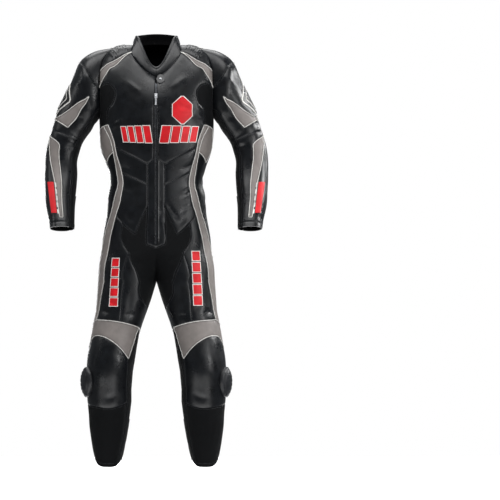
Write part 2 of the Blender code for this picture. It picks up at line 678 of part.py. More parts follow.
def triangulate(surface, lines, points):
    """Triangles of the domain, and which pairs of them a seam divides."""
    index = {}
    verts = []
    edges = []

    def add(place):
        key = (round(place[0], 7), round(place[1], 7))
        if key not in index:
            index[key] = len(verts)
            verts.append(Vector(surface.flat(*place)))
        return index[key]

    for line in lines:
        run = [add(place) for place in line]
        edges.extend((a, b) for a, b in zip(run, run[1:]) if a != b)
    for place in points:
        add(place)
    out, out_edges, faces, _, from_edges, _ = delaunay_2d_cdt(verts, edges, [], 0, 1e-6, True)
    places = np.array([(p.x / surface.scale, p.y) for p in out])
    walls = {tuple(sorted(edge)) for edge, source in zip(out_edges, from_edges) if source}
    return places, [tuple(face) for face in faces], walls


def label_panels(places, faces, walls, seeds):
    """Fills each panel outwards from its seed, stopping at seams."""
    beside = {}
    for number, face in enumerate(faces):
        for a, b in zip(face, face[1:] + face[:1]):
            beside.setdefault(tuple(sorted((a, b))), []).append(number)
    labels = [None] * len(faces)
    for name, seed in seeds:
        start = None
        for number, face in enumerate(faces):
            a, b, c = (places[i] for i in face)
            sides = [np.cross(b - a, seed - a), np.cross(c - b, seed - b), np.cross(a - c, seed - c)]
            if min(sides) >= 0 or max(sides) <= 0:
                start = number
                break
        if start is None or labels[start] is not None:
            raise ValueError(f"no region of its own for {name}: {labels[start] if start else None}")
        labels[start] = name
        todo = [start]
        while todo:
            number = todo.pop()
            face = faces[number]
            for a, b in zip(face, face[1:] + face[:1]):
                key = tuple(sorted((a, b)))
                if key in walls:
                    continue
                for other in beside[key]:
                    if labels[other] is None:
                        labels[other] = name
                        todo.append(other)
    return labels


def mirrored(points, normals, faces):
    flip = np.array([-1.0, 1.0, 1.0])
    return points * flip, normals * flip, [face[::-1] for face in faces]


def welded(points, normals, faces):
    """Joins points in the same place, with their mean normal."""
    lookup = {}
    remap = []
    new_points = []
    sums = []
    for point, normal in zip(points, normals):
        key = tuple(np.round(point / WELD).astype(int))
        if key not in lookup:
            lookup[key] = len(new_points)
            new_points.append(point)
            sums.append(np.zeros(3))
        sums[lookup[key]] = sums[lookup[key]] + normal
        remap.append(lookup[key])
    lengths = [np.linalg.norm(normal) for normal in normals]
    longest = {}
    for old, new in enumerate(remap):
        longest[new] = max(longest.get(new, 0), lengths[old])
    new_normals = []
    for new, total in enumerate(sums):
        new_normals.append(total / max(np.linalg.norm(total), 1e-12) * longest[new])
    kept = []
    for face in faces:
        face = tuple(remap[i] for i in face)
        if len(set(face)) == 3:
            kept.append(face)
    return np.array(new_points), np.array(new_normals), kept


def used_only(points, normals, faces):
    order = sorted({i for face in faces for i in face})
    new = {old: k for k, old in enumerate(order)}
    return points[order], normals[order], [tuple(new[i] for i in face) for face in faces]


def rim_edges(faces):
    """The edges that only one face has, in its direction."""
    rim = {}
    for face in faces:
        for a, b in zip(face, face[1:] + face[:1]):
            if (b, a) in rim:
                del rim[(b, a)]
            else:
                rim[(a, b)] = True
    return list(rim)


def wall_mesh(points, normals, faces, thickness, inset):
    """A closed wall: the outer points drawn in at the seams, and the inner points."""
    rim = rim_edges(faces)
    inward = {}
    for a, b in rim:
        unit = normals[a] + normals[b]
        along = points[b] - points[a]
        side = np.cross(unit, along)
        side = side / max(np.linalg.norm(side), 1e-12)
        inward.setdefault(a, []).append(side)
        inward.setdefault(b, []).append(side)
    outer = points.copy()
    for vertex, sides in inward.items():
        total = np.sum(sides, axis=0)
        length = np.linalg.norm(total)
        if length < 1e-9:
            continue
        total = total / length
        cosine = max(CORNER_COSINE, min(float(np.dot(total, side)) for side in sides))
        outer[vertex] = outer[vertex] + total * inset / cosine
    inner = outer - normals * thickness
    count = len(points)
    verts = np.concatenate([outer, inner])
    all_faces = list(faces)
    all_faces += [tuple(i + count for i in face[::-1]) for face in faces]
    for a, b in rim:
        all_faces += edge_wall(a, b, count, tuple(points[a]) < tuple(points[b]))
    return verts, all_faces


def edge_wall(a, b, count, first):
    """The two triangles across a wall's edge; both neighbours of a seam split it alike."""
    if first:
        return [(b, a, a + count), (b, a + count, b + count)]
    return [(b, a, b + count), (a, a + count, b + count)]


MATERIALS = {}


def finish(name, colour, roughness, metallic=0.0):
    material = bpy.data.materials.new(name)
    material.use_nodes = True
    shader = material.node_tree.nodes["Principled BSDF"]
    shader.inputs["Base Color"].default_value = (*colour, 1.0)
    shader.inputs["Roughness"].default_value = roughness
    shader.inputs["Metallic"].default_value = metallic
    MATERIALS[name] = material


def add_object(name, verts, faces, material):
    mesh = bpy.data.meshes.new(name)
    mesh.from_pydata([tuple(map(float, vert)) for vert in verts], [], faces)
    mesh.update()
    mesh.shade_smooth()
    mesh.set_sharp_from_angle(angle=SHARP_ANGLE)
    mesh.materials.append(MATERIALS[material])
    SUIT.objects.link(bpy.data.objects.new(name, mesh))


def facing_out(points, normals, faces):
    """Turns the triangles so that they run anticlockwise as seen from outside."""
    turned = []
    for face in faces:
        a, b, c = (points[i] for i in face)
        mean = normals[face[0]] + normals[face[1]] + normals[face[2]]
        turned.append(face if np.dot(np.cross(b - a, c - a), mean) > 0 else face[::-1])
    return turned


def add_panel(name, points, normals, faces, material, middle):
    """Adds one panel across the middle, or a left one and its right twin."""
    points, normals, faces = used_only(points, normals, faces)
    points, normals, faces = welded(points, normals, faces)
    faces = facing_out(points, normals, faces)
    other = mirrored(points, normals, faces)
    if middle:
        count = len(points)
        points = np.concatenate([points, other[0]])
        normals = np.concatenate([normals, other[1]])
        faces = faces + [tuple(i + count for i in face) for face in other[2]]
        points, normals, faces = welded(points, normals, faces)
        verts, faces = wall_mesh(points, normals, faces, WALL, SEAM_GAP / 2)
        add_object(name, verts, faces, material)
        return
    for side, (p, n, f) in (("L", (points, normals, faces)), ("R", other)):
        verts, all_faces = wall_mesh(p, n, f, WALL, SEAM_GAP / 2)
        add_object(f"{name}_{side}", verts, all_faces, material)


def build_body():
    neck, armhole = body_edges()
    lines = drawn_seams(BODY_SEAMS, BODY, body_snap)
    lines += edge_runs(BODY, lines, [u for u, _ in neck], HEM_POINTS, (CROTCH_V,))
    lines.append(armhole + armhole[:1])
    points = fill_points(BODY, lines, in_armhole)
    places, faces, walls = triangulate(BODY, lines, points)
    seeds = [(name, np.array(BODY.place(*seed))) for name, seed, _, _ in BODY_PANELS]
    seeds.append(("calf_panel inner", np.array(CALF_INNER)))
    labels = label_panels(places, faces, walls, seeds)
    labels = ["calf_panel" if label == "calf_panel inner" else label for label in labels]
    u, v = places.T
    positions = body_point(u, v)
    normals = body_normal(u, v)
    at_armhole = nearest_index(places, armhole, BODY)
    qs = np.arange(ARMHOLE_POINTS) / ARMHOLE_POINTS
    shared = miter(body_normal(*np.array(armhole).T), sleeve_normal(qs, np.zeros(ARMHOLE_POINTS)))
    normals[at_armhole] = shared
    at_neck = nearest_index(places, neck, BODY)
    neck_u = np.array([u for u, _ in neck])
    normals[at_neck] = miter(body_normal(neck_u, np.zeros(len(neck_u))), collar_normal(neck_u))
    for name, _, material, middle in BODY_PANELS:
        chosen = [face for face, label in zip(faces, labels) if label == name]
        add_panel(name, positions, normals, chosen, material, middle)


def nearest_index(places, wanted, surface):
    flat = surface.flat(*places.T)
    found = []
    for place in wanted:
        away = np.sum((flat - surface.flat(*place)) ** 2, axis=1)
        found.append(int(np.argmin(away)))
    return found


def build_sleeves():
    lines = drawn_seams(SLEEVE_SEAMS, SLEEVE, sleeve_snap)
    top = [k / ARMHOLE_POINTS for k in range(ARMHOLE_POINTS + 1)]
    lines += edge_runs(SLEEVE, lines, top, CUFF_POINTS, ())
    points = fill_points(SLEEVE, lines, nowhere)
    places, faces, walls = triangulate(SLEEVE, lines, points)
    seeds = [(name, np.array(SLEEVE.place(*seed))) for name, seed, _ in SLEEVE_PANELS]
    seeds.append(("under_sleeve rear", np.array(UNDER_REAR)))
    labels = label_panels(places, faces, walls, seeds)
    labels = ["under_sleeve" if label == "under_sleeve rear" else label for label in labels]
    q, s = places.T
    positions = sleeve_point(q, s)
    normals = sleeve_normal(q, s)
    at_armhole = np.where(s < 1e-9)[0]
    body_side = body_normal(*armhole_place(q[at_armhole]))
    normals[at_armhole] = miter(body_side, normals[at_armhole])
    for name, _, material in SLEEVE_PANELS:
        chosen = [face for face, label in zip(faces, labels) if label == name]
        add_panel(name, positions, normals, chosen, material, False)


def collar_point(u, h):
    """The collar stands on the neck edge and leans in towards the plain neck, h from 0 to 1."""
    u = np.asarray(u, float)
    foot = body_point(u, np.zeros_like(u))
    rise = np.asarray(h, float)[..., None]
    base = foot + (plain_point(u, np.zeros_like(u)) - foot) * rise
    shrink = 1 - (1 - COLLAR_TAPER) * h**COLLAR_BEND
    x = base[..., 0] * shrink
    y = COLLAR_MIDDLE_Y + (base[..., 1] - COLLAR_MIDDLE_Y) * shrink
    return np.stack([x, y, base[..., 2] + COLLAR_HEIGHT * h], axis=-1)


def collar_normal(u):
    """Unit normals of the collar's foot, pointing away from the neck."""
    u = np.asarray(u, float)
    step = 1e-3
    inside = np.clip(u, step, 1 - step)
    low = np.zeros_like(u)
    foot = collar_point(inside, low)
    along_u = collar_point(inside + step, low) - collar_point(inside - step, low)
    along_h = collar_point(inside, low + 0.05) - foot
    normal = np.cross(along_u, along_h)
    outward = foot - np.array([0.0, COLLAR_MIDDLE_Y, 0.0])
    outward[..., 2] = 0
    normal = normal * np.where(np.sum(normal * outward, axis=-1, keepdims=True) < 0, -1, 1)
    normal[..., 0] = np.where((u < 1e-6) | (u > 1 - 1e-6), 0, normal[..., 0])
    return normal / np.linalg.norm(normal, axis=-1, keepdims=True)


def build_collar():
    """The collar is one band, open at the front middle."""
    us = np.arange(NECK_POINTS + 1) / NECK_POINTS
    points = []
    normals = []
    for row in range(COLLAR_ROWS):
        h = np.full_like(us, row / (COLLAR_ROWS - 1))
        ring = collar_point(us, h)
        facing = collar_normal(us)
        if row == 0:
            facing = miter(body_normal(us, np.zeros_like(us)), facing)
        points.append(ring)
        normals.append(facing)
    points = np.concatenate(points)
    normals = np.concatenate(normals)
    across = NECK_POINTS + 1
    faces = []
    for row in range(COLLAR_ROWS - 1):
        for k in range(NECK_POINTS):
            a = row * across + k
            faces += [(a, a + 1, a + across), (a + 1, a + across + 1, a + across)]
    faces = facing_out(points, normals, faces)
    front = points[:, 1] < 0
    at_front = (points[:, 0] < 1e-9) & front
    points[at_front, 0] += COLLAR_FRONT_GAP / 2
    other = mirrored(points, normals, faces)
    count = len(points)
    points = np.concatenate([points, other[0]])
    normals = np.concatenate([normals, other[1]])
    faces = faces + [tuple(i + count for i in face) for face in other[2]]
    points, normals, faces = welded(points, normals, faces)
    verts, faces = wall_mesh(points, normals, faces, COLLAR_WALL, SEAM_GAP / 2)
    add_object("collar", verts, faces, "leather")


def disc(rings, sides):
    """A round grid: its (across, up) places from the middle out, and its triangles."""
    places = [(0.0, 0.0)]
    for ring in range(1, rings + 1):
        for k in range(sides):
            turn = 2 * math.pi * k / sides
            places.append((ring / rings * math.cos(turn), ring / rings * math.sin(turn)))
    faces = [(0, 1 + k, 1 + (k + 1) % sides) for k in range(sides)]
    for ring in range(1, rings):
        low = 1 + (ring - 1) * sides
        high = low + sides
        for k in range(sides):
            n = (k + 1) % sides
            faces += [(low + k, high + k, high + n), (low + k, high + n, low + n)]
    return np.array(places), faces


def front_depth(x, z):
    """How far forward the trunk's front lies at (x, z)."""
    u, v = BODY.place(x / MM, z / MM, "F")
    return body_point(u, v)[1]


def made_surface(names):
    """The finished faces of some pieces, to lay another piece on."""
    verts = []
    faces = []
    for name in names:
        mesh = SUIT.objects[name].data
        start = len(verts)
        verts.extend(vert.co.copy() for vert in mesh.vertices)
        faces.extend([start + i for i in face.vertices] for face in mesh.polygons)
    return BVHTree.FromPolygons(verts, faces)


def build_tab():
    """The collar's closing tab, on the wearer's left, lying over the neck seam."""
    places, faces = disc(TAB_RINGS, TAB_SIDES)
    below = made_surface(("collar", "chest_L", "front_placket"))
    centre_x, centre_z = TAB_CENTRE
    points = []
    for across, up in places:
        square = 1.0 - TAB_SQUARE * (across * up) ** 2
        x = centre_x + TAB_HALF[0] * across * square
        z = centre_z + TAB_HALF[1] * up * square
        hit = below.ray_cast(Vector((x, -1.0, z)), Vector((0.0, 1.0, 0.0)))[0]
        points.append((x, hit.y - TAB_CLEAR - TAB_THICK, z))
    points = np.array(points)
    normals = np.tile((0.0, -1.0, 0.0), (len(points), 1))
    faces = facing_out(points, normals, faces)
    verts, faces = wall_mesh(points, normals, faces, TAB_THICK, 0.0)
    add_object("collar_tab", verts, faces, "leather")


def build_pucks():
    """Knee pucks, made from the knee panel's own points moved out."""
    places, faces = disc(PUCK_RINGS, PUCK_SIDES)
    centre_u, centre_v = PUCK_CENTRE
    step = 0.01
    around = body_point(np.array([centre_u - step, centre_u + step]), np.full(2, centre_v))
    per_u = np.linalg.norm(around[1] - around[0]) / (2 * step)
    us = centre_u + places[:, 0] * PUCK_HALF[0] / per_u
    vs = centre_v - places[:, 1] * PUCK_HALF[1]
    base = body_point(us, vs)
    out = body_normal(us, vs)
    reach = np.linalg.norm(places, axis=1)
    rise = PUCK_HEIGHT * (1 - PUCK_FALL * reach**PUCK_ROUND)
    under = base + out * SEAM_GAP
    top = base + out * rise[:, None]
    verts = np.concatenate([top, under])
    count = len(top)
    faces = facing_out(top, out, faces)
    all_faces = list(faces) + [tuple(i + count for i in face[::-1]) for face in faces]
    for a, b in rim_edges(faces):
        all_faces += edge_wall(a, b, count, True)
    flip = np.array([-1.0, 1.0, 1.0])
    add_object("knee_puck_L", verts, all_faces, "puck")
    add_object("knee_puck_R", verts * flip, [face[::-1] for face in all_faces], "puck")


def box(name, size, middle):
    bpy.ops.mesh.primitive_cube_add(size=1.0, location=middle)
    made = bpy.context.object
    made.name = name
    made.scale = size
    bpy.ops.object.transform_apply(location=False, rotation=False, scale=True)
    return made


def rod(name, radius, length):
    """A round bar along the hinge line."""
    bpy.ops.mesh.primitive_cylinder_add(radius=radius, depth=length, vertices=ROD_SIDES,
                                        rotation=(0, math.radians(90), 0))
    made = bpy.context.object
    made.name = name
    return made


def combine(target, others, operation):
    for other in others:
        modifier = target.modifiers.new(other.name, "BOOLEAN")
        modifier.operation = operation
        modifier.object = other
        other.hide_render = True


def settle(piece, place, material):
    """Turns the piece's finished shape into a plain mesh in its place on the suit."""
    graph = bpy.context.evaluated_depsgraph_get()
    mesh = bpy.data.meshes.new_from_object(piece.evaluated_get(graph))
    mesh.transform(place @ piece.matrix_world)
    mesh.materials.clear()
    mesh.materials.append(MATERIALS[material])
    made = bpy.data.objects.new(piece.name + "_made", mesh)
    SUIT.objects.link(made)
    return made


def build_zip_hardware():
    """Slider with two lugs and a pin, and the pull tab that hangs on the pin."""
    upper = front_depth(0.0, SLIDER_Z + SLIDER_REACH_UP)
    lower = front_depth(0.0, SLIDER_Z - SLIDER_REACH_DOWN)
    tilt = math.atan2(upper - lower, SLIDER_REACH_UP + SLIDER_REACH_DOWN)
    y = front_depth(0.0, SLIDER_Z) - SLIDER_STAND / math.cos(tilt)
    place = Matrix.Translation((0, y, SLIDER_Z)) @ Matrix.Rotation(-tilt, 4, "X")
    plate_y = SLIDER_STAND - SLIDER_CLEAR - SLIDER_SIZE[1] / 2
    slider = box("slider_plate", SLIDER_SIZE, (0, plate_y, SLIDER_ABOVE_PIN))
    bevel = slider.modifiers.new("rounded", "BEVEL")
    bevel.width = SLIDER_ROUND
    bevel.segments = 2
    lug_back = plate_y + LUG_SUNK
    lug_size = (LUG_WIDTH, lug_back + LUG_PAST_PIN, LUG_HEIGHT)
    lugs = []
    for side in (-1, 1):
        middle = (side * LUG_X, (lug_back - LUG_PAST_PIN) / 2, 0)
        lugs.append(box(f"lug_{side}", lug_size, middle))
    pin = rod("pin", PIN_RADIUS, PIN_LENGTH)
    combine(slider, lugs + [pin], "UNION")
    eye = rod("eye", EYE_RADIUS, EYE_WIDTH)
    tab = box("tab", PULL_SIZE, (0, 0, PULL_SUNK - EYE_RADIUS - PULL_SIZE[2] / 2))
    bore = rod("bore", EYE_BORE, EYE_WIDTH * 2)
    combine(eye, [tab], "UNION")
    combine(eye, [bore], "DIFFERENCE")
    slider_made = settle(slider, place, "steel")
    pull_made = settle(eye, place, "steel")
    for helper in [slider, eye, pin, tab, bore] + lugs:
        bpy.data.objects.remove(helper)
    slider_made.name = "zip_slider"
    pull_made.name = "zip_pull"


for old in list(bpy.data.objects):
    bpy.data.objects.remove(old)
SUIT = bpy.data.collections.new("race_suit")
bpy.context.scene.collection.children.link(SUIT)
finish("leather", BLACK, 0.38)
finish("stretch", MATTE, 0.85)
finish("grey", GREY, 0.5)
finish("steel", STEEL, 0.3, 1.0)
finish("puck", PUCK_BLACK, 0.35)

BODY = Surface(body_point, BODY_LENGTH, BODY_ROUND)
SLEEVE = Surface(sleeve_point, SLEEVE_LENGTH, SLEEVE_ROUND)
build_body()
build_sleeves()
build_collar()
build_tab()
build_pucks()
build_zip_hardware()
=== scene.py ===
"""Looks of the motorcycle race suit: leather, stretch cloth, piping, sewing, zips and light.

The cloth is cut again from the same tables of sections and the same seams as the
solids, at a finer step, with the creases, rolled seams and ribs that the solids
leave out.  Metres, +Z up, the front faces -Y, +X is the wearer's left.
"""

import json
import math

import bmesh
import bpy
import numpy as np
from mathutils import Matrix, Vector
from mathutils.bvhtree import BVHTree
from mathutils.geometry import delaunay_2d_cdt
from mathutils.kdtree import KDTree

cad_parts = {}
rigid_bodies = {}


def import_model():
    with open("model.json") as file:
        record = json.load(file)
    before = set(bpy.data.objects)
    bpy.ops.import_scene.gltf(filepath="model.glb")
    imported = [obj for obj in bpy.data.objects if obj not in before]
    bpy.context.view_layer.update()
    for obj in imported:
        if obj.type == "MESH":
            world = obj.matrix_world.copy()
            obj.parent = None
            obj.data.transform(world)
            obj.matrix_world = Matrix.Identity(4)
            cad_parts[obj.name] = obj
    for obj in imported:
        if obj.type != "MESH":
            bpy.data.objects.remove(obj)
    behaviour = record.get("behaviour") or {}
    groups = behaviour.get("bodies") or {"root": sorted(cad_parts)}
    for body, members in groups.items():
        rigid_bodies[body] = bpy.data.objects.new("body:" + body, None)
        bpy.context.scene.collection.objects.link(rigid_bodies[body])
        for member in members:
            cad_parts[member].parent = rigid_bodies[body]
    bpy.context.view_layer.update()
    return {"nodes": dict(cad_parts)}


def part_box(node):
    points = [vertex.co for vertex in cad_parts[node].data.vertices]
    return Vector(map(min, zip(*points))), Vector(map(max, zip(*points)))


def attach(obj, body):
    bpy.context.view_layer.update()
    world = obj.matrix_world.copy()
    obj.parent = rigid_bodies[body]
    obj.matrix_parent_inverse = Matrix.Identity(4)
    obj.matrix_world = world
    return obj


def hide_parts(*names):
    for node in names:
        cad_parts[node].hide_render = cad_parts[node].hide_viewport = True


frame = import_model()


# ---- Sizes ----------------------------------------------------------------

MM = 0.001

# What counts as nothing: for a length divided by, for two places on one edge, for
# two stops that are one, and for two points of cloth that are one.
TINY = 1e-12
CLOSE = 1e-9
NEAR = 1e-6
WELD = 10 * NEAR

# Cloth: its wall, the gap at a seam, the spacing of its points, the rows of points
# beside a seam or crease, and how near a free point may come to a seam, to another
# point and to an edge.
WALL = 2.0 * MM
SEAM_GAP = 0.3 * MM
SPACING = 6.6 * MM
SEAM_STEP = 5.0 * MM
BESIDE_SEAM = (2.4 * MM, 5.6 * MM)
BESIDE_SHARE = 0.88
CREASE_ROW = 0.8
CREASE_TO_SEAM = 4 * MM
CLEAR_OF_SEAM = 8.6 * MM
CLEAR_OF_POINT = 0.62 * SPACING
CLEAR_OF_EDGE = 0.55 * SPACING
ROW_TO_EDGE = 1.5 * MM
ROW_SPACING = 0.87 * SPACING

# The free points of a row: where its girth is measured, and the fewest it has.  Then
# the points of the hem and the cuff, and how near one may come to a seam's end.
GIRTH_POINTS = 41
LEAST_AROUND = 3
LOW_POINTS = {"body": 54, "sleeve": 42}
END_SHARE = 0.35

# The angle from which an edge is sharp, on the cloth and on the collar.
SHARP_ANGLE = math.radians(60)
COLLAR_SHARP_ANGLE = math.radians(70)

# The wall is measured square to the cloth, up to these cosines at a fold and a corner.
FOLD_COSINE = 0.6
CORNER_COSINE = 0.35

# A cut piece's flat size: how full its width and length can be, how empty, and the least side.
FULL_SHARE = 0.98
LEAST_SHARE = 0.32
LEAST_SIDE = 0.012

# The armhole is an oval on the body surface, wider behind than in front.
ARMHOLE_V = 184.5 * MM
ARMHOLE_HALF_V = 120.5 * MM
ARMHOLE_FRONT_U = 0.15
ARMHOLE_BACK_U = 0.225
ARMHOLE_POINTS = 28
ARMHOLE_FINE = 4 * ARMHOLE_POINTS
SLEEVE_EASE = 95 * MM
NECK_POINTS = 15
NECK_FINE = 4 * NECK_POINTS

# Where the two legs part, down the body surface, and the v at which the inseam ends,
# and the seat seam begins and ends.
CROTCH_V = 819 * MM
INSEAM_END = (0.93, 0.55, 0.93)

# The neck edge is cut lower at each side of the front: how far down the plain
# form, at which u, half how far round, and the v at which the form is plain.
NECK_CUT = 34 * MM
NECK_CUT_MIDDLE = 0.22
NECK_CUT_HALF = 0.20
NECK_CUT_FADE = 150 * MM

# The leg hems bow: how far, the share of it that is level, and the run it eases in
# over.  The cuffs turn by CUFF_TURN degrees over the same run.
HEM_BOW = 24 * MM
HEM_BOW_LEVEL = 0.7
HEM_BOW_RUN = 70 * MM
CUFF_TURN = 16

# How far past its half sizes the armour's rise reaches.
ARMOUR_REACH = 1.15

# Seams and hems: the puffed cloth beside a seam and its groove, the roll and groove of
# a hem, the stations of the points across it and how many there are round it.
PUFF = 0.5 * MM
PUFF_WIDTH = 10 * MM
SEAM_DEPTH = 1.5 * MM
SEAM_WIDTH = 2.3 * MM
HEM_ROLL = 0.7 * MM
HEM_ROLL_WIDE = 4 * MM
HEM_GROOVE = 1.1 * MM
HEM_GROOVE_WIDE = 1.6 * MM
HEM_WIDE = 13 * MM
HEM_ROWS = (3, 8, 11.2, 13, 14.8, 18)
HEM_ROW_POINTS = 90
ROW_GAP = 0.5 * MM

# Creases: the depth they get for each mm in the tables, their step, how far they
# are felt, and how they fade by a seam and, on one side only, by the centre plane.
CREASE_GAIN = 1.35
CREASE_STEP = 12 * MM
CREASE_REACH = 3
CREASE_CLEAR = 6 * MM
MIDDLE_CLEAR = 14 * MM

# Ribs of stretch leather over the shoulder, in mm: width, height and fade, then places.
RIB_COUNT = 8
RIB_FIRST = 92
RIB_PITCH = 6.5
RIB_SLOPE = 0.35
RIB_WIDE = 2.6
RIB_HIGH = 2.2
RIB_FADE = 0.12

# Collar, which leans in to COLLAR_TAPER of the neck opening; the rows of its section
# as (mm outwards, share of its height, mm down); and what its edges turn in.
COLLAR_HEIGHT = 31 * MM
COLLAR_TAPER = 0.87
COLLAR_BEND = 1.3
COLLAR_MIDDLE_Y = -10 * MM
COLLAR_FRONT_GAP = 1.0 * MM
COLLAR_PROFILE = (
    (-1.4, 0.0, 3.5), (-0.6, 0.0, 0.8), (0.6, 0.0, 0.0), (1.3, 0.12, 0), (1.6, 0.3, 0),
    (1.6, 0.5, 0), (1.5, 0.68, 0), (0.5, 0.74, 0), (1.5, 0.8, 0), (1.7, 0.88, 0),
    (1.2, 0.96, 0), (-0.2, 1.0, 0), (-1.8, 1.0, 0), (-3.0, 0.95, 0),
    (-3.4, 0.85, 0), (-3.2, 0.7, 0), (-2.8, 0.5, 0), (-2.8, 0.25, 0),
    (-3.0, 0.0, 3.5))
COLLAR_INSIDE_ROW = 12
COLLAR_TURN = 3 * MM
COLLAR_WELD = 0.01 * MM

# The collar's closing tab, given as (x, z): its rolled edge and the line sewn round
# it, as shares of its reach, and its press stud.
TAB_CENTRE = (0.015, -0.097)
TAB_HALF = (0.015, 0.017)
TAB_THICK = 2.4 * MM
TAB_SQUARE = 0.08
TAB_DISC = (10, 48)
TAB_INSIDE = 0.97
TAB_ROLL = 1.5 * MM
TAB_ROLL_FROM = 0.8
TAB_SEWN = 0.5 * MM
TAB_SEWN_AT = 0.74
TAB_SEWN_WIDE = 0.04
TAB_EDGE_FROM = 0.95
TAB_EDGE_THIN = 1.2 * MM
TAB_FILL = 3.6
STUD_DISC = (6, 28)
STUD_RADIUS = 5.5 * MM
STUD_DOME = 2.0 * MM
STUD_FLAT = 0.92
STUD_DOWN = 2 * MM
STUD_SUNK = 1.0 * MM

# Knee pucks on the outer knee, centred at (u, v), with a groove and worn ribs.
PUCK_CENTRE = (0.455, 1.150)
PUCK_HALF = (0.040, 0.050)
PUCK_HEIGHT = 23 * MM
PUCK_FALL = 0.62
PUCK_ROUND = 2.6
PUCK_DISC = (20, 56)
PUCK_GROOVE = 1.3 * MM
PUCK_GROOVE_AT = 0.80
PUCK_GROOVE_WIDE = 0.035
PUCK_RIB = 0.9 * MM
PUCK_RIBS = 7
PUCK_RIB_END = 0.7
PUCK_RIB_FADE = 0.08

# The front zip: its ends as z, the well it runs in, the folds beside it, its rows of
# points, and its teeth and tape.
ZIP_TOP = -0.113
ZIP_ROWS_TOP = -0.105
ZIP_END = -0.640
ZIP_PAST_END = 6 * MM
ZIP_FADE = 8 * MM
ZIP_ROWS = (1.2, 2.2, 3.2, 4.2, 5.2, 6.4, 7.8, 9.4, 11.4)
ZIP_ROW_POINTS = 130
CENTRE_POINTS = 1200
WELL_DEPTH = 1.9 * MM
WELL_HALF = 2.1 * MM
WELL_EDGE = 1.2 * MM
FOLD_BELOW_PULL = 5 * MM
FOLD_FADE = 12 * MM
FOLD_X = {"L": 6.5 * MM, "R": 4.5 * MM}
FOLD_WIDE = {"L": 2.6 * MM, "R": 1.5 * MM}
FOLD_RISE = {"L": 2.2 * MM, "R": 0.8 * MM}
TOOTH_PITCH = 2.6 * MM
TOOTH_STAGGER = 0.25
TOOTH_HALF = 0.2
TOOTH_X = (-0.35 * MM, 1.9 * MM)
TOOTH_UP = (-0.3 * MM, 1.2 * MM)
TAPE_CORNERS = ((-1, -0.4), (-1, 0.25), (1, 0.25), (1, -0.4))
TAPE_HALF = 2.8

# Short zips at cuff and ankle, in mm: tape, teeth as (along, across, up), and slider
# and tail, at a tooth counted from the end; then where they run, as a share round and
# from and to down the surface, in mm on the sleeve and in metres up from the hem.
SHORT_PITCH = 2.2 * MM
SHORT_CORNERS = ((-1, -1.2), (-1, 0.5), (1, 0.5), (1, -1.2))
SHORT_TAPE_HALF = 6.5
SHORT_TOOTH = (0.9 * MM, 2.2 * MM, 2.6 * MM)
SHORT_TOOTH_ALONG = 0.5
SHORT_TOOTH_ACROSS = 0.9
SHORT_SLIDER = (9 * MM, 6.5 * MM, 2.6 * MM)
SHORT_SLIDER_UP = 1.6
SHORT_SLIDER_AT = -4
SHORT_TAIL = (13 * MM, 4 * MM, 1.2 * MM)
SHORT_TAIL_ALONG = 9
SHORT_TAIL_UP = 1.2
BLOCK_TOP = 0.78
CUFF_ZIP = (0.955, 430, 548)
ANKLE_ZIP = (0.965, 0.150, 0.002)
SHORT_ZIP_POINTS = 20

# Piping and its cord, how deep it sits, and stitches with their pitch and size.
PIPING = 1.25 * MM
THIN_PIPING = 1.0 * MM
PIPING_SITS = -0.2 * MM
PIPING_STEP = 4 * MM
CORD_SIDES = 8
CORD_ENDS = 0.5
STITCH_PITCH = 4.4 * MM
STITCH_LENGTH = 3.2 * MM
STITCH_WIDE = 0.9 * MM
STITCH_HIGH = 0.35 * MM
STITCH_OFFSET = 3.3 * MM
STITCH_CLEAR = 1.2 * MM
STITCH_CLEAR_SHARE = 0.75
STITCH_STRETCH = 1.6
STITCH_DIP = 0.4
STITCH_KEEL = 0.6
HEM_STITCHES = HEM_WIDE - 3 * MM

# Pieces sewn on, in mm: the step of their points, how far their under side is sunk
# and how far the white one shows round the red one.
PATCH_STEP = 4 * MM
PATCH_SUNK = 0.4 * MM
EDGE_LIFT = 0.5 * MM
RED_LIFT = 1.0 * MM
BAR_LIFT = 0.6 * MM
MARK_LIFT = 0.8 * MM
GARAGE_LIFT = 1.5 * MM
EDGE_SHOWS = 2.2

# Blocks of coloured leather, in mm.
BLOCK_FIRST = 16
BLOCK_GAP = 7
CHEST_BLOCKS = 4
CHEST_BLOCK_END = {"L": 134, "R": 110}
CHEST_BLOCK_Z = (-252, -307)
CHEST_BLOCK_SLANT = (5, 4)
CHEST_BLOCK_WIDE = 1.18
CHEST_BLOCK_TAPER = 0.36
THIGH_BLOCKS = 5
THIGH_BLOCK_Z = {"L": (-665, -841), "R": (-688, -844)}
THIGH_BLOCK_X = {"L": (118, 142), "R": (121, 143)}
THIGH_BLOCK_SLANT = (5, 8, 2)
BACK_BLOCKS = 4
BACK_BLOCK_PITCH = 17
BACK_BLOCK_TAPER = 9
FOREARM_MARKS = 5
FOREARM_MARK_PITCH = (2.6, 22)

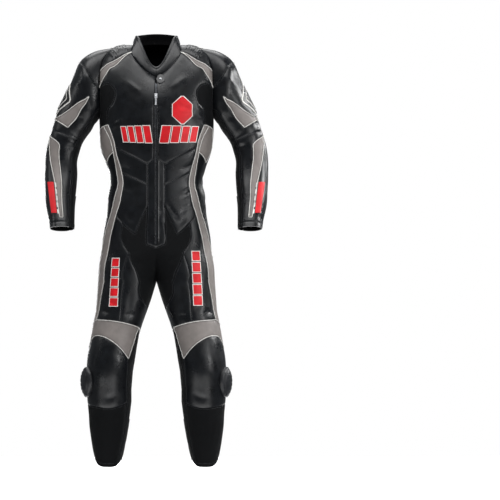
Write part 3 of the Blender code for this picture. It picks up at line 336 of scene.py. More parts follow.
# Camera, light and floor.
CAMERA_LENS = 348.0
CAMERA_SENSOR = 36.0
CAMERA_AZIMUTH = 1.0
CAMERA_AWAY = 16.0
CAMERA_TO_RIGHT = 0.3094
SUIT_MIDDLE = (0.0, 0.0, -0.6600)
WORLD_LIGHT = 0.20
WORLD_COLOUR = (0.9, 0.95, 1, 1)
FLOOR_GLOW = 0.55
FLOOR_PLACE = (0, 0.6, -1.50)
FLOOR_SIZE = (9.0, 6.0, 1.0)
LIGHTS = (
    ("key", (2.1, -2.6, -0.5), (0, 0, -0.5), (2.2, 2.2), 24),
    ("strip", (2.7, -2.0, -0.5), (0, 0, -0.5), (0.35, 1.6), 30),
    ("shoulder", (3.36, 0.42, 0.90), (0.25, 0, -0.13), (0.9, 0.8), 98),
    ("outer arm", (2.46, 2.24, 0.42), (0.33, 0, -0.12), (0.5, 0.5), 26),
    ("rim", (-3.3, -0.2, 0.9), (-0.25, 0, -0.1), (1.0, 0.8), 11),
    ("top", (-0.6, -2.4, 4.6), (0, 0, -0.7), (8.0, 4.0), 610),
    ("bottom", (-0.5, -2.3, -4.4), (0, 0, -0.7), (8.0, 2.4), 200),
    ("back", (-0.2, 2.8, 4.2), (0, 0, -0.7), (4.5, 4.0), 255),
    ("back bottom", (0, 3.2, -3.6), (0, 0, -0.7), (4.5, 4.0), 205),
    ("back side", (-1.2, 3.2, -0.3), (0, 0, -0.5), (0.5, 1.1), 16),
)


# ---- Tables ---------------------------------------------------------------

# Sections of the trunk and the leg, from the neck to the hem.  Lengths in
# millimetres, wrap in degrees.  v runs down the surface; side_z, front_z and
# back_z are the heights of one section at its outer side, front and back;
# reach and inner are its outer and inner half widths; wrap is the angle round
# the section's own axis at which it meets the centre plane; front and back are
# its depths, axis_y the place of its axis and square its squareness.
BODY_COLUMNS = ("v", "side_z", "front_z", "back_z", "reach", "inner", "wrap",
                "front", "back", "axis_y", "square")
BODY_ROWS = (
    (0, 18, -87, 26, 78, 0, 90, 82, 62, 0, 2.00),
    (35, 16, -104, 10, 112, 0, 90, 96, 84, 0, 2.08),
    (70, 6, -121, -16, 147, 0, 90, 105, 101, 0, 2.15),
    (100, -12, -139, -45, 174, 0, 90, 112, 112, 0, 2.22),
    (130, -38, -159, -76, 193, 0, 90, 118, 119, 0, 2.30),
    (160, -68, -181, -108, 203, 0, 90, 122, 123, 0, 2.35),
    (200, -110, -209, -148, 206, 0, 90, 125, 126, 0, 2.35),
    (250, -165, -241, -198, 200, 0, 90, 125, 125, 0, 2.35),
    (300, -220, -277, -246, 190, 0, 90, 122, 122, 0, 2.30),
    (350, -278, -318, -296, 188, 0, 90, 118, 117, 0, 2.30),
    (400, -334, -362, -346, 181, 0, 90, 112, 110, 0, 2.25),
    (450, -390, -407, -396, 162, 0, 90, 106, 101, 0, 2.20),
    (490, -432, -443, -436, 153, 0, 90, 104, 98, 0, 2.20),
    (540, -484, -490, -486, 161, 0, 90, 104, 104, 0, 2.20),
    (600, -545, -548, -546, 165, 0, 90, 106, 114, 0, 2.20),
    (650, -596, -598, -597, 174, 0, 90, 108, 122, 0, 2.20),
    (675, -621, -622, -621, 178, 0, 93, 109, 125, 0, 2.18),
    (700, -646, -646, -646, 180, 0, 101, 109, 126, 0, 2.15),
    (730, -676, -676, -676, 183, 0, 119, 108, 125, 0, 2.12),
    (755, -701, -701, -701, 188, 0, 136, 106, 122, 0, 2.10),
    (780, -726, -726, -726, 191, 0, 153, 104, 118, 0, 2.08),
    (800, -746, -746, -746, 192, 0, 167, 102, 114, -1, 2.05),
    (819, -765, -765, -765, 193, 0, 180, 100, 110, -2, 2.05),
    (835, -781, -781, -781, 194, 5, 180, 99, 107, -3, 2.05),
    (875, -821, -821, -821, 197, 17, 180, 97, 102, -5, 2.05),
    (915, -861, -861, -861, 200, 31, 180, 94, 96, -8, 2.05),
    (955, -901, -901, -901, 208, 46, 180, 91, 89, -12, 2.05),
    (995, -941, -941, -941, 215, 58, 180, 88, 82, -17, 2.05),
    (1035, -981, -981, -981, 222, 65, 180, 86, 77, -21, 2.05),
    (1075, -1021, -1021, -1021, 228, 71, 180, 85, 75, -23, 2.05),
    (1115, -1061, -1061, -1061, 230, 78, 180, 84, 75, -22, 2.05),
    (1175, -1121, -1121, -1121, 229, 83, 180, 78, 76, -15, 2.05),
    (1215, -1161, -1161, -1161, 228, 83, 180, 74, 77, -8, 2.05),
    (1255, -1201, -1201, -1201, 224, 88, 180, 70, 76, 0, 2.05),
    (1295, -1241, -1241, -1241, 222, 94, 180, 66, 72, 6, 2.05),
    (1335, -1281, -1281, -1281, 217, 101, 180, 61, 66, 11, 2.05),
    (1375, -1321, -1321, -1321, 211, 109, 180, 57, 60, 16, 2.05),
    (1424, -1370, -1370, -1370, 203, 118, 180, 53, 54, 21, 2.05),
)

# Sections of the sleeve, from the armhole to the cuff, in millimetres and
# degrees.  Each is given by its outer and inner edge as seen from the front.
SLEEVE_COLUMNS = ("s", "outer_x", "outer_z", "inner_x", "inner_z", "axis_y",
                  "front", "back", "lean", "square")
SLEEVE_ROWS = (
    (0, 145, 5, 190, -228, 0, 62, 66, 0, 2.0),
    (34, 207, -14, 194, -232, 1, 76, 80, 0, 2.0),
    (60, 246, -40, 198, -237, 2, 79, 83, 0, 2.05),
    (92, 271, -86, 205, -246, 3, 77, 81, 0, 2.1),
    (120, 291, -126, 211, -255, 4, 73, 77, 1, 2.1),
    (151, 306, -168, 219, -268, 6, 69, 72, 2, 2.1),
    (187, 328, -213, 232, -285, 8, 65, 67, 3, 2.1),
    (225, 347, -262, 246, -307, 9, 61, 63, 5, 2.1),
    (266, 360, -315, 255, -333, 8, 58, 61, 9, 2.1),
    (307, 366, -364, 263, -366, 3, 56, 59, 15, 2.1),
    (355, 369, -410, 262, -410, -9, 55, 57, 21, 2.1),
    (410, 367, -460, 265, -460, -31, 52, 54, 25, 2.1),
    (466, 364, -510, 270, -510, -56, 47, 49, 27, 2.1),
    (520, 354, -558, 271, -558, -81, 42, 43, 27, 2.1),
    (555, 349, -590, 271, -590, -97, 39, 40, 27, 2.1),
)

# Armour under the leather: centre (u, v) on the body or (q, s) on the sleeve,
# half sizes in the same terms, and height in millimetres.
BODY_ARMOUR = (
    ("knee", 0.25, 1.085, 0.235, 0.115, 11),
    ("shin", 0.25, 1.235, 0.17, 0.085, 4),
    ("hip", 0.47, 0.610, 0.16, 0.080, 3),
    ("shoulder blade", 0.82, 0.150, 0.15, 0.110, 4),
)
SLEEVE_ARMOUR = (
    ("shoulder", 0.50, 0.055, 0.24, 0.060, 9),
    ("elbow", 0.66, 0.290, 0.20, 0.085, 9),
    ("upper arm", 0.50, 0.165, 0.13, 0.042, 5),
)

# Seams of the body: name, the edges it starts and ends on, the faces of its points,
# one letter for all or one each, then their x and z in millimetres as seen square
# on: F from the front, B from behind; S is on the outer side line, with no x.
BODY_SEAMS = (
    ("placket top", "neck", "", "F", 8, -87, 8, -200, 8, -362),
    ("placket corner", "", "", "F", 8, -362, 28, -376),
    ("placket side", "", "", "F", 28, -376, 28, -443, 28, -513, 29, -640),
    ("placket end", "", "centre", "F", 29, -640, 0, -653),
    ("belly upper", "", "", "F", 28, -376, 75, -352, 135, -322),
    ("belly middle", "", "", "F", 28, -443, 70, -425, 114, -404),
    ("belly lower", "", "", "F", 28, -513, 50, -560, 70, -606),
    ("belly hip", "", "", "F", 70, -606, 112, -570, 133, -545),
    ("hip", "", "", "F", 112, -570, 116, -616, 103, -651, 90, -669),
    ("crotch", "", "inseam", "F", 90, -669, 79, -705, 64, -737, 56, -775, 50, -820, 33, -865),
    ("thigh", "", "", "F", 90, -669, 105, -716, 109, -755, 113, -820, 119, -897),
    ("knee top", "", "", "F", 58, -916, 119, -897, 160, -892, 197, -890),
    ("knee side", "", "", "FSB", 197, -890, 0, -905, 193, -925),
    ("knee inner", "", "", "F", 58, -916, 74, -965, 91, -1018),
    ("knee inseam", "", "inseam", "F", 58, -916, 54, -930),
    ("knee low", "", "", "FFFFFS", 91, -1018, 127, -973, 165, -948, 197, -942, 213, -955,
     0, -985),
    ("knee back", "", "", "SBB", 0, -985, 205, -957, 193, -925),
    ("calf top", "", "inseam", "B", 193, -925, 150, -932, 100, -932, 54, -930),
    ("leg inner", "", "", "F", 91, -1018, 93, -1070, 97, -1165),
    ("shin inner", "", "hem", "F", 97, -1165, 106, -1260, 126, -1370),
    ("leg outer", "", "", "SBB", 0, -985, 224, -1060, 222, -1165),
    ("shin outer", "", "hem", "B", 222, -1165, 214, -1270, 197, -1370),
    ("knee base", "", "", "FFFB", 97, -1165, 150, -1182, 205, -1176, 222, -1165),
    ("band front", "", "", "F", 158, -248, 144, -286, 135, -322, 114, -404, 110, -450, 119, -500,
     133, -545, 145, -592, 154, -636, 162, -679, 172, -745, 182, -815, 197, -890),
    ("band rear", "", "", "FFFFFFFFS", 173, -252, 154, -290, 141, -338, 130, -404, 128, -455,
     143, -513, 161, -575, 175, -635, 0, -690),
    ("band head", "", "", "F", 158, -248, 173, -252),
    ("band thigh", "", "", "B", 146, -563, 168, -643, 177, -720, 180, -800, 186, -870, 193, -925),
    ("gusset top", "", "", "F", 173, -252, 186, -262),
    ("gusset edge", "armhole", "", "F", 188, -236, 186, -262),
    ("gusset outer", "", "", "F", 186, -262, 185, -295, 182, -328),
    ("gusset low", "", "", "F", 182, -328, 163, -372),
    ("gusset tip", "", "", "F", 163, -372, 141, -338),
    ("armpit", "armhole", "", "F", 187, -126, 163, -112, 142, -121, 132, -146, 142, -179,
     160, -206, 158, -248),
    ("crescent outer", "neck", "armhole", "F", 80, -22, 127, -31, 161, -48, 186, -76),
    ("crescent inner", "neck", "armhole", "F", 80, -22, 125, -45, 154, -64, 169, -87, 187, -112),
    ("yoke shoulder", "neck", "", "B", 68, 22, 106, 6),
    ("yoke edge", "", "", "B", 106, 6, 64, -20, 38, -52, 28, -94, 21, -162, 16, -276),
    ("yoke end", "", "centre", "B", 16, -276, 0, -279),
    ("shoulder rear", "", "armhole", "B", 106, 6, 135, -12),
    ("side back inner", "armhole", "", "B", 170, -222, 133, -289, 112, -348, 116, -395,
     107, -462),
    ("side back outer", "armhole", "", "B", 184, -236, 151, -301, 128, -352, 134, -396,
     127, -462),
    ("lumbar top", "centre", "", "B", 0, -462, 60, -461, 107, -462, 127, -462),
    ("lumbar side", "", "", "BBBBS", 127, -462, 146, -512, 160, -563, 173, -625, 0, -690),
    ("lumbar corner", "", "", "B", 146, -563, 160, -563),
    ("lumbar low", "", "centre", "B", 146, -563, 110, -583, 70, -597, 0, -603),
)

# Seams of the sleeve.  Q points are (q, s in millimetres): q runs once round
# the sleeve, 0 at the underarm, 0.25 in front, 0.5 outside and 0.75 behind.
SLEEVE_SEAMS = (
    ("under front", "armhole", "cuff", "Q", 0.12, 0, 0.12, 100, 0.125, 230, 0.13, 400, 0.14, 555),
    ("under rear", "armhole", "cuff", "Q", 0.88, 0, 0.88, 100, 0.875, 230, 0.87, 400, 0.86, 555),
    ("cap", "armhole", "armhole", "Q", 0.21, 0, 0.26, 26, 0.33, 47, 0.41, 62, 0.5, 68, 0.59, 66,
     0.67, 46, 0.74, 0),
    ("elbow", "", "", "Q", 0.125, 230, 0.25, 228, 0.5, 226, 0.75, 224, 0.875, 230),
    ("spear upper", "", "", "FFFQ", 221, -155, 270, -184, 316, -216, 0.5, 200),
    ("spear lower", "", "", "F", 221, -155, 245, -193, 268, -231, 291, -256),
    ("spear end", "", "", "FQ", 291, -256, 0.5, 200),
    ("rear inner", "", "", "B", 208, -118, 216, -156, 250, -205, 278, -240),
    ("rear outer", "", "", "B", 224, -106, 256, -134, 279, -185, 302, -232),
    ("rear top", "", "", "B", 208, -118, 224, -106),
    ("rear end", "", "", "B", 278, -240, 302, -232),
    ("forearm inner", "", "", "F", 352, -282, 325, -305, 321, -340, 311, -450, 305, -552),
    ("forearm outer", "", "", "F", 352, -282, 352, -340, 338, -417, 329, -477, 316, -552),
    ("forearm end", "", "", "F", 305, -552, 316, -552),
)

# The calf panel and the under sleeve cross the line where the flat domain is
# cut, so each has a second inside point, as (u, v) and (q, s).
CALF_INNER = (0.03, 1.250)
UNDER_REAR = (0.95, 0.150)

# Grid and finer steps of the search for a seam point's place on a surface.
SEARCH_ACROSS = 161
SEARCH_DOWN = 301
SEARCH_STEPS = (2e-3, 5e-4, 1.2e-4, 3e-5)
SEARCH_ROUNDS = 6
SEARCH_U = np.array([0, 1, -1, 0, 0, 1, 1, -1, -1])
SEARCH_V = np.array([0, 0, 0, 1, -1, 1, -1, 1, -1])
FAR = 1.0

# How much the flat domain stretches round the body and round the sleeve.
BODY_ROUND = 0.50
SLEEVE_ROUND = 0.38

# Panels: name, a point inside it, its finish, and whether it crosses the middle.
BODY_PANELS = (
    ("front_placket", (4, -250, "F"), "leather", True),
    ("chest", (80, -150, "F"), "leather", False),
    ("belly_upper", (80, -385, "F"), "leather", False),
    ("belly_lower", (80, -480, "F"), "leather", False),
    ("crotch_stretch", (40, -680, "F"), "stretch", True),
    ("thigh_inner", (85, -800, "F"), "leather", False),
    ("thigh_front", (140, -760, "F"), "leather", False),
    ("armpit_stretch", (165, -150, "F"), "stretch", False),
    ("shoulder_crescent", (150, -53, "F"), "grey", False),
    ("shoulder_top", (0, 13, "S"), "leather", False),
    ("side_gusset", (168, -300, "F"), "grey", False),
    ("side_band", (154, -590, "F"), "grey", False),
    ("side_panel", (0, -450, "S"), "leather", False),
    ("side_back_band", (120, -350, "B"), "grey", False),
    ("back_yoke", (10, -100, "B"), "grey", True),
    ("back_panel", (60, -300, "B"), "leather", True),
    ("lumbar_panel", (60, -530, "B"), "grey", True),
    ("seat", (100, -750, "B"), "leather", False),
    ("knee_band", (140, -930, "F"), "grey", False),
    ("knee_panel", (160, -1080, "F"), "leather", False),
    ("shin_panel", (160, -1250, "F"), "stretch", False),
    ("calf_panel", (160, -1200, "B"), "stretch", False),
)
SLEEVE_PANELS = (
    ("shoulder_cap", (0.50, 50, "Q"), "leather"),
    ("upper_sleeve", (0.50, 150, "Q"), "leather"),
    ("arm_spear", (0.44, 195, "Q"), "grey"),
    ("arm_rear_panel", (246, -165, "B"), "grey"),
    ("under_sleeve", (0.05, 150, "Q"), "stretch"),
    ("forearm_band", (325, -400, "F"), "grey"),
    ("forearm", (0.60, 400, "Q"), "leather"),
)


# Soft troughs (depth below 0) and ridges, in groups that share the faces of their
# points and how much of the run fades at each end.  Each has the sides it is on, as
# L, R or LR, its half width and depth, then its places.
BODY_CREASES = (
    ("F", 0.4, (
        ("LR", 18, 1.0, 60, -60, 70, -130, 75, -200),
        ("L", 8, -1.8, 158, -262, 140, -236, 112, -222),
        ("R", 9, -2.0, 158, -268, 136, -248, 104, -240),
        ("R", 7, 1.5, 150, -250, 126, -226, 96, -214),
        ("L", 7, -1.6, 98, -548, 88, -566, 72, -578),
        ("L", 6, 1.4, 110, -560, 98, -576, 80, -592),
        ("R", 7, -1.5, 104, -532, 88, -556, 66, -570),
        ("L", 6, -1.4, 106, -520, 92, -532, 70, -538),
        ("R", 10, -1.4, 44, -520, 40, -570, 46, -620),
    )),
    ("F", 0.35, (
        ("L", 5, 4.0, 16, -500, 42, -538, 68, -583),
        ("L", 5, 3.6, 14, -545, 26, -584, 37, -619),
        ("L", 6, -2.4, 26, -496, 56, -536, 84, -574),
        ("L", 6, -2.8, 18, -526, 38, -562, 54, -606),
    )),
    ("F", 0.4, (
        ("L", 7, 1.5, 124, -440, 104, -462, 70, -476),
        ("L", 6, -1.6, 120, -462, 100, -482, 74, -492),
        ("L", 6, 1.3, 126, -488, 112, -506, 90, -520),
        ("L", 7, -1.5, 128, -372, 104, -388, 66, -396),
        ("R", 8, -1.3, 124, -380, 100, -392, 70, -402),
        ("R", 7, 1.3, 118, -452, 96, -470, 62, -482),
        ("L", 9, 1.6, 44, -130, 74, -110, 104, -82),
        ("R", 9, 1.4, 40, -150, 72, -126, 108, -96),
        ("L", 8, -1.5, 128, -214, 106, -196, 70, -190),
        ("L", 8, 1.6, 150, -706, 158, -760, 150, -822),
        ("L", 7, -1.7, 160, -830, 140, -846, 118, -856),
        ("R", 7, -1.6, 158, -826, 136, -838, 112, -846),
        ("L", 8, -1.8, 112, -960, 124, -1000, 122, -1050),
        ("R", 8, -1.6, 190, -980, 206, -1020, 204, -1066),
        ("L", 8, -1.6, 188, -984, 204, -1018, 206, -1060),
        ("LR", 9, -1.8, 112, -1120, 140, -1144, 176, -1150),
        ("L", 9, -2.2, 40, -700, 54, -690, 76, -668),
        ("R", 9, -2.0, 36, -712, 52, -702, 78, -684),
        ("L", 7, -1.8, 34, -742, 48, -728, 58, -706),
        ("R", 8, 1.5, 30, -738, 44, -726, 60, -700),
        ("LR", 10, -1.8, 30, -790, 40, -770, 54, -742),
        ("L", 9, -1.6, 66, -800, 78, -838, 80, -880),
        ("R", 9, -1.7, 72, -790, 86, -830, 92, -884),
        ("L", 8, 1.4, 130, -700, 136, -756, 132, -810),
        ("R", 9, 1.3, 128, -720, 138, -780, 134, -840),
        ("L", 6, -1.8, 66, -884, 88, -876, 108, -880),
        ("R", 6, -1.8, 64, -878, 86, -872, 110, -876),
        ("L", 6, -1.5, 186, -868, 170, -864, 150, -874),
        ("R", 6, -1.6, 184, -862, 168, -862, 148, -870),
        ("LR", 8, -1.6, 100, -1030, 116, -1010, 138, -996),
        ("L", 9, -1.3, 128, -1200, 136, -1270, 142, -1340),
        ("R", 9, -1.4, 124, -1195, 130, -1260, 140, -1320),
        ("L", 8, -1.3, 186, -1200, 180, -1260, 176, -1330),
        ("R", 8, 1.2, 188, -1210, 182, -1270, 174, -1350),
        ("LR", 7, -1.6, 112, -1345, 130, -1338, 152, -1342),
    )),
    ("B", 0.4, (
        ("R", 8, 2.5, 117, -1, 105, -30, 94, -58),
    )),
    ("B", 0.35, (
        ("R", 8, -3.0, 123, -20, 105, -104, 86, -157, 67, -210, 52, -252, 25, -279),
    )),
    ("B", 0.4, (
        ("R", 8, -2.5, 101, -187, 132, -248, 147, -275),
        ("R", 10, 2.0, 64, -248, 83, -324, 94, -366),
        ("R", 8, -2.5, 86, -320, 100, -366, 108, -408),
        ("R", 6, -1.6, 30, -430, 58, -436, 88, -428),
        ("L", 8, 2.0, 117, -1, 105, -30, 94, -58),
        ("L", 9, -2.0, 110, -60, 102, -140, 84, -230),
        ("L", 9, -1.7, 60, -170, 54, -250, 64, -330),
        ("L", 8, 1.6, 120, -170, 116, -240, 98, -320),
        ("L", 6, -1.5, 34, -425, 62, -432, 92, -426),
        ("L", 9, 2.0, 69, -673, 60, -694, 51, -712),
        ("L", 8, 1.8, 76, -700, 66, -718, 55, -738),
        ("R", 10, 2.0, 30, -662, 18, -680, 6, -702),
        ("R", 10, -2.0, 37, -702, 86, -690, 137, -673),
        ("LR", 10, -2.0, 20, -760, 60, -752, 110, -740),
    )),
    ("B", 0.35, (
        ("L", 6, -1.6, 126, -780, 80, -766, 40, -756),
        ("L", 6, -1.7, 128, -796, 84, -781, 42, -770),
        ("L", 6, -1.6, 124, -811, 84, -797, 46, -786),
        ("L", 6, -1.5, 120, -827, 84, -812, 50, -803),
        ("L", 6, -1.3, 116, -842, 86, -829, 56, -820),
        ("R", 8, -1.7, 120, -800, 84, -788, 44, -780),
        ("R", 7, -1.4, 112, -836, 84, -824, 50, -812),
    )),
    ("B", 0.3, (
        ("LR", 7, -2.2, 70, -914, 110, -908, 160, -914),
        ("LR", 8, 1.8, 74, -948, 112, -944, 170, -950),
        ("L", 8, -2.2, 80, -968, 124, -962, 180, -972),
        ("R", 8, -2.0, 84, -980, 124, -970, 176, -976),
        ("LR", 8, -1.5, 96, -1300, 140, -1310, 180, -1296),
        ("LR", 7, -1.5, 110, -1346, 150, -1352, 186, -1344),
    )),
    ("FSB", 0.4, (
        ("L", 9, -2.2, 150, -404, 0, -420, 150, -430),
        ("L", 8, -2.0, 152, -440, 0, -452, 150, -456),
        ("R", 9, -2.2, 150, -396, 0, -410, 150, -418),
        ("R", 8, -2.0, 150, -432, 0, -446, 150, -462),
        ("LR", 9, -1.8, 160, -490, 0, -500, 154, -508),
    )),
)
SLEEVE_CREASES = (
    ("Q", 0.4, (
        ("L", 8, -2.0, 0.16, 60, 0.22, 84, 0.3, 96),
        ("R", 8, -2.2, 0.15, 50, 0.22, 76, 0.3, 90),
        ("LR", 8, 1.5, 0.16, 90, 0.24, 118, 0.33, 132),
        ("L", 8, -1.8, 0.15, 120, 0.22, 146, 0.28, 176),
        ("R", 7, -1.8, 0.16, 130, 0.22, 150, 0.27, 172),
    )),
    ("Q", 0.35, (
        ("LR", 7, -2.4, 0.06, 214, 0.16, 219, 0.28, 212),
        ("LR", 8, 1.8, 0.05, 236, 0.16, 244, 0.29, 240),
        ("L", 7, -2.2, 0.05, 256, 0.15, 264, 0.26, 266),
        ("R", 7, -2.4, 0.06, 262, 0.16, 268, 0.25, 262),
    )),
    ("Q", 0.4, (
        ("LR", 9, -1.5, 0.2, 300, 0.21, 360, 0.2, 430),
        ("L", 8, 1.3, 0.16, 380, 0.17, 440, 0.19, 500),
        ("LR", 9, -1.6, 0.78, 300, 0.8, 370, 0.78, 440),
        ("R", 8, -1.5, 0.7, 130, 0.78, 160, 0.84, 196),
        ("L", 8, -1.7, 0.72, 120, 0.8, 146, 0.85, 180),
        ("LR", 8, -1.8, 0.9, 60, 0.97, 90, 1.04, 80),
        ("LR", 6, -1.3, 0.3, 520, 0.42, 528, 0.56, 522),
    )),
    ("Q", 0.3, (
        ("LR", 7, 1.6, 0.27, 20, 0.33, 75, 0.4, 112),
    )),
)

# The seams that have piping, and those that have thin piping behind the shoulder.
PIPED = {
    "body": ("crescent outer", "crescent inner", "gusset outer", "gusset low", "gusset tip",
             "band head", "band front", "band rear", "gusset top", "band thigh", "knee top",
             "knee side", "knee inner", "knee low", "knee back", "knee inseam", "yoke edge",
             "yoke end", "yoke shoulder", "lumbar top", "lumbar low", "lumbar corner",
             "side back inner", "side back outer", "shoulder rear"),
    "sleeve": ("spear upper", "spear lower", "spear end", "rear inner", "rear outer",
               "rear top", "rear end", "forearm inner", "forearm outer", "forearm end"),
}
REAR_PIPED = {"body": ("armhole",), "sleeve": ("cap",)}

# Pieces sewn on: the face they are seen from, then rows of (z, x left, x right) in
# mm, or on the sleeve (s in mm, q first, q last).
EMBLEM = ("F", (-156, 84, 90), (-181, 55, 118), (-220, 55, 118), (-245, 84, 90))
# The light rim round the arm block and the light line round its top tier are painted highlight:
# light lines where the block's stepped edges catch the light.
ARM_BLOCK_HIGHLIGHT_RIM = ("Q", (110, 0.462, 0.538), (131, 0.352, 0.648), (139, 0.350, 0.650),
                  (190, 0.462, 0.538))
ARM_BLOCK = ("Q", (113, 0.470, 0.530), (133, 0.366, 0.634), (139, 0.364, 0.636),
             (186, 0.468, 0.532))
ARM_BLOCK_HIGHLIGHT_LINE = ("Q", (122, 0.474, 0.526), (138, 0.404, 0.596), (143, 0.404, 0.596),
                  (178, 0.474, 0.526))
ARM_BLOCK_TOP = ("Q", (124, 0.480, 0.520), (139, 0.414, 0.586), (143, 0.414, 0.586),
                 (175, 0.480, 0.520))
SHOULDER_STRIP = ("Q", (12, 0.640, 0.672), (28, 0.610, 0.660), (52, 0.592, 0.636),
                  (62, 0.590, 0.610))
SHOULDER_STRIP_EDGE = ("Q", (10, 0.634, 0.678), (28, 0.604, 0.666), (52, 0.586, 0.642),
                       (64, 0.584, 0.616))
ZIP_GARAGE = ("F", (-109, 17, 32), (-114, 14, 38), (-123, 13, 41), (-133, 14, 39),
              (-141, 17, 31))
BACK_BAR = ("B", (-404, 6, 60), (-424, 6, 60))
BACK_BLOCK = ((-336, 10, 56), (-348, 8, 50))
FOREARM_BLOCK = ("F", (-436, 338, 358), (-538, 325, 343))
FOREARM_MARK = ((-438, 330, 335), (-452, 328, 333))

# The pads of each sleeve: name, material, and its pieces with their lift in mm.
PADS = (
    # The first pad, in the piping colour, is the arm block's painted highlight along its stepped
    # edges.
    ("arm_block_edge", "piping", ((1.6, ARM_BLOCK_HIGHLIGHT_RIM), (3.1, ARM_BLOCK_HIGHLIGHT_LINE))),
    ("arm_block", "leather", ((2.7, ARM_BLOCK), (4.2, ARM_BLOCK_TOP))),
    ("shoulder_strip_edge", "piping", ((0.7, SHOULDER_STRIP_EDGE),)),
    ("shoulder_strip", "grey", ((1.3, SHOULDER_STRIP),)),
)

# What is sewn on each piece of cloth.
SEWN_ON = (
    ("chest_{}_cloth", ("chest_blocks_{}_edge", "chest_blocks_{}_red")),
    ("chest_L_cloth", ("chest_emblem_edge", "chest_emblem_red")),
    ("thigh_front_{}_cloth", ("thigh_blocks_{}_edge", "thigh_blocks_{}_red")),
    ("back_panel_cloth", ("back_blocks_L_edge", "back_blocks_L_red", "back_bar_L",
                          "back_blocks_R_edge", "back_blocks_R_red", "back_bar_R")),
    ("forearm_{}_cloth", ("forearm_block_{}", "forearm_marks_{}")),
    ("upper_sleeve_{}_cloth", ("arm_block_edge_{}", "arm_block_{}")),
    ("shoulder_cap_{}_cloth", ("shoulder_strip_edge_{}", "shoulder_strip_{}")),
    ("under_sleeve_{}_cloth", ("cuff_zip_tape_{}", "cuff_zip_teeth_{}", "cuff_zip_slider_{}")),
    ("calf_panel_{}_cloth", ("ankle_zip_tape_{}", "ankle_zip_teeth_{}", "ankle_zip_slider_{}")),
    ("front_placket_cloth", ("zip_tape", "zip_teeth", "zip_garage")),
    ("collar_tab_leather", ("tab_stud",)),
)

# The faces of a brick and of a stitch, and what is filled in as the suit is built:
# the looks by name, and each sheet's flat width, length and area.
BOX_FACES = ((0, 1, 3, 2), (4, 6, 7, 5), (0, 4, 5, 1), (2, 3, 7, 6), (0, 2, 6, 4), (1, 5, 7, 3))
STITCH_FACES = ((0, 2, 1), (0, 3, 2), (0, 4, 3), (0, 1, 4),
                (5, 1, 2), (5, 2, 3), (5, 3, 4), (5, 4, 1))
MATERIALS = {}
SHEETS = {}


# ---- The forms of the body and the sleeve ---------------------------------

def unit(vectors):
    """Vectors of length one, along the last axis."""
    return vectors / np.maximum(np.linalg.norm(vectors, axis=-1, keepdims=True), TINY)


def eased(a, b, start, end, f):
    """A smooth curve from a to b, with a slope given at each end."""
    return (a * (2 * f**3 - 3 * f**2 + 1) + start * (f**3 - 2 * f**2 + f)
            + b * (3 * f**2 - 2 * f**3) + end * (f**3 - f**2))


def face_points(faces, numbers):
    """Points (first, second, face) from a run of numbers; one face may serve them all."""
    pairs = list(zip(numbers[::2], numbers[1::2]))
    letters = faces * len(pairs) if len(faces) == 1 else faces
    return [(*pair, letter) for pair, letter in zip(pairs, letters)]


def point_tree(points):
    """A tree that finds the nearest of the points."""
    tree = KDTree(len(points))
    for index, point in enumerate(points):
        tree.insert(point, index)
    tree.balance()
    return tree


def section_curves(columns, rows, plain, straight):
    """A function that reads every column at any station, through smooth curves."""
    table = np.array(rows, float)
    knots = table[:, 0] * MM
    values = {}
    for index, name in enumerate(columns):
        scale = 1.0 if name in plain else MM
        values[name] = table[:, index] * scale
    slopes = {name: np.gradient(column, knots) for name, column in values.items()}

    def at(station):
        place = np.clip(np.asarray(station, float), knots[0], knots[-1])
        low = np.clip(np.searchsorted(knots, place, side="right") - 1, 0, len(knots) - 2)
        step = knots[low + 1] - knots[low]
        f = (place - knots[low]) / step
        found = {}
        for name, column in values.items():
            a = column[low]
            b = column[low + 1]
            if name in straight:
                found[name] = a + (b - a) * f
                continue
            start = slopes[name][low] * step
            end = slopes[name][low + 1] * step
            found[name] = eased(a, b, start, end, f)
        return found

    return at


body_section = section_curves(BODY_COLUMNS, BODY_ROWS, ("wrap", "square"), ("wrap", "inner"))
sleeve_section = section_curves(SLEEVE_COLUMNS, SLEEVE_ROWS, ("lean", "square"), ())
BODY_LENGTH = BODY_ROWS[-1][0] * MM
SLEEVE_LENGTH = SLEEVE_ROWS[-1][0] * MM


def signed_power(value, power):
    """A power that keeps the value's sign."""
    return np.sign(value) * np.abs(value) ** power


def armour_height(u, v, armour):
    """How far the armour under the leather pushes it out."""
    height = np.zeros(np.broadcast(u, v).shape)
    for _, centre_u, centre_v, half_u, half_v, rise in armour:
        away = np.sqrt(((u - centre_u) / half_u) ** 2 + ((v - centre_v) / half_v) ** 2)
        flat = np.clip(ARMOUR_REACH - away, 0, 1)
        height = height + rise * MM * flat**2 * (3 - 2 * flat)
    return height


def neck_cut(u, v):
    """How much further down the plain form a place of the body lies."""
    away = np.clip((u - NECK_CUT_MIDDLE) / NECK_CUT_HALF, -1, 1)
    fade = np.clip(1 - v / NECK_CUT_FADE, 0, 1)
    return NECK_CUT * (0.5 + 0.5 * np.cos(np.pi * away)) * fade**2


def body_point(u, v):
    """Points of the trunk and leg: u 0 at the front middle, 0.5 outside, 1 behind."""
    return plain_point(u, v + neck_cut(u, v))


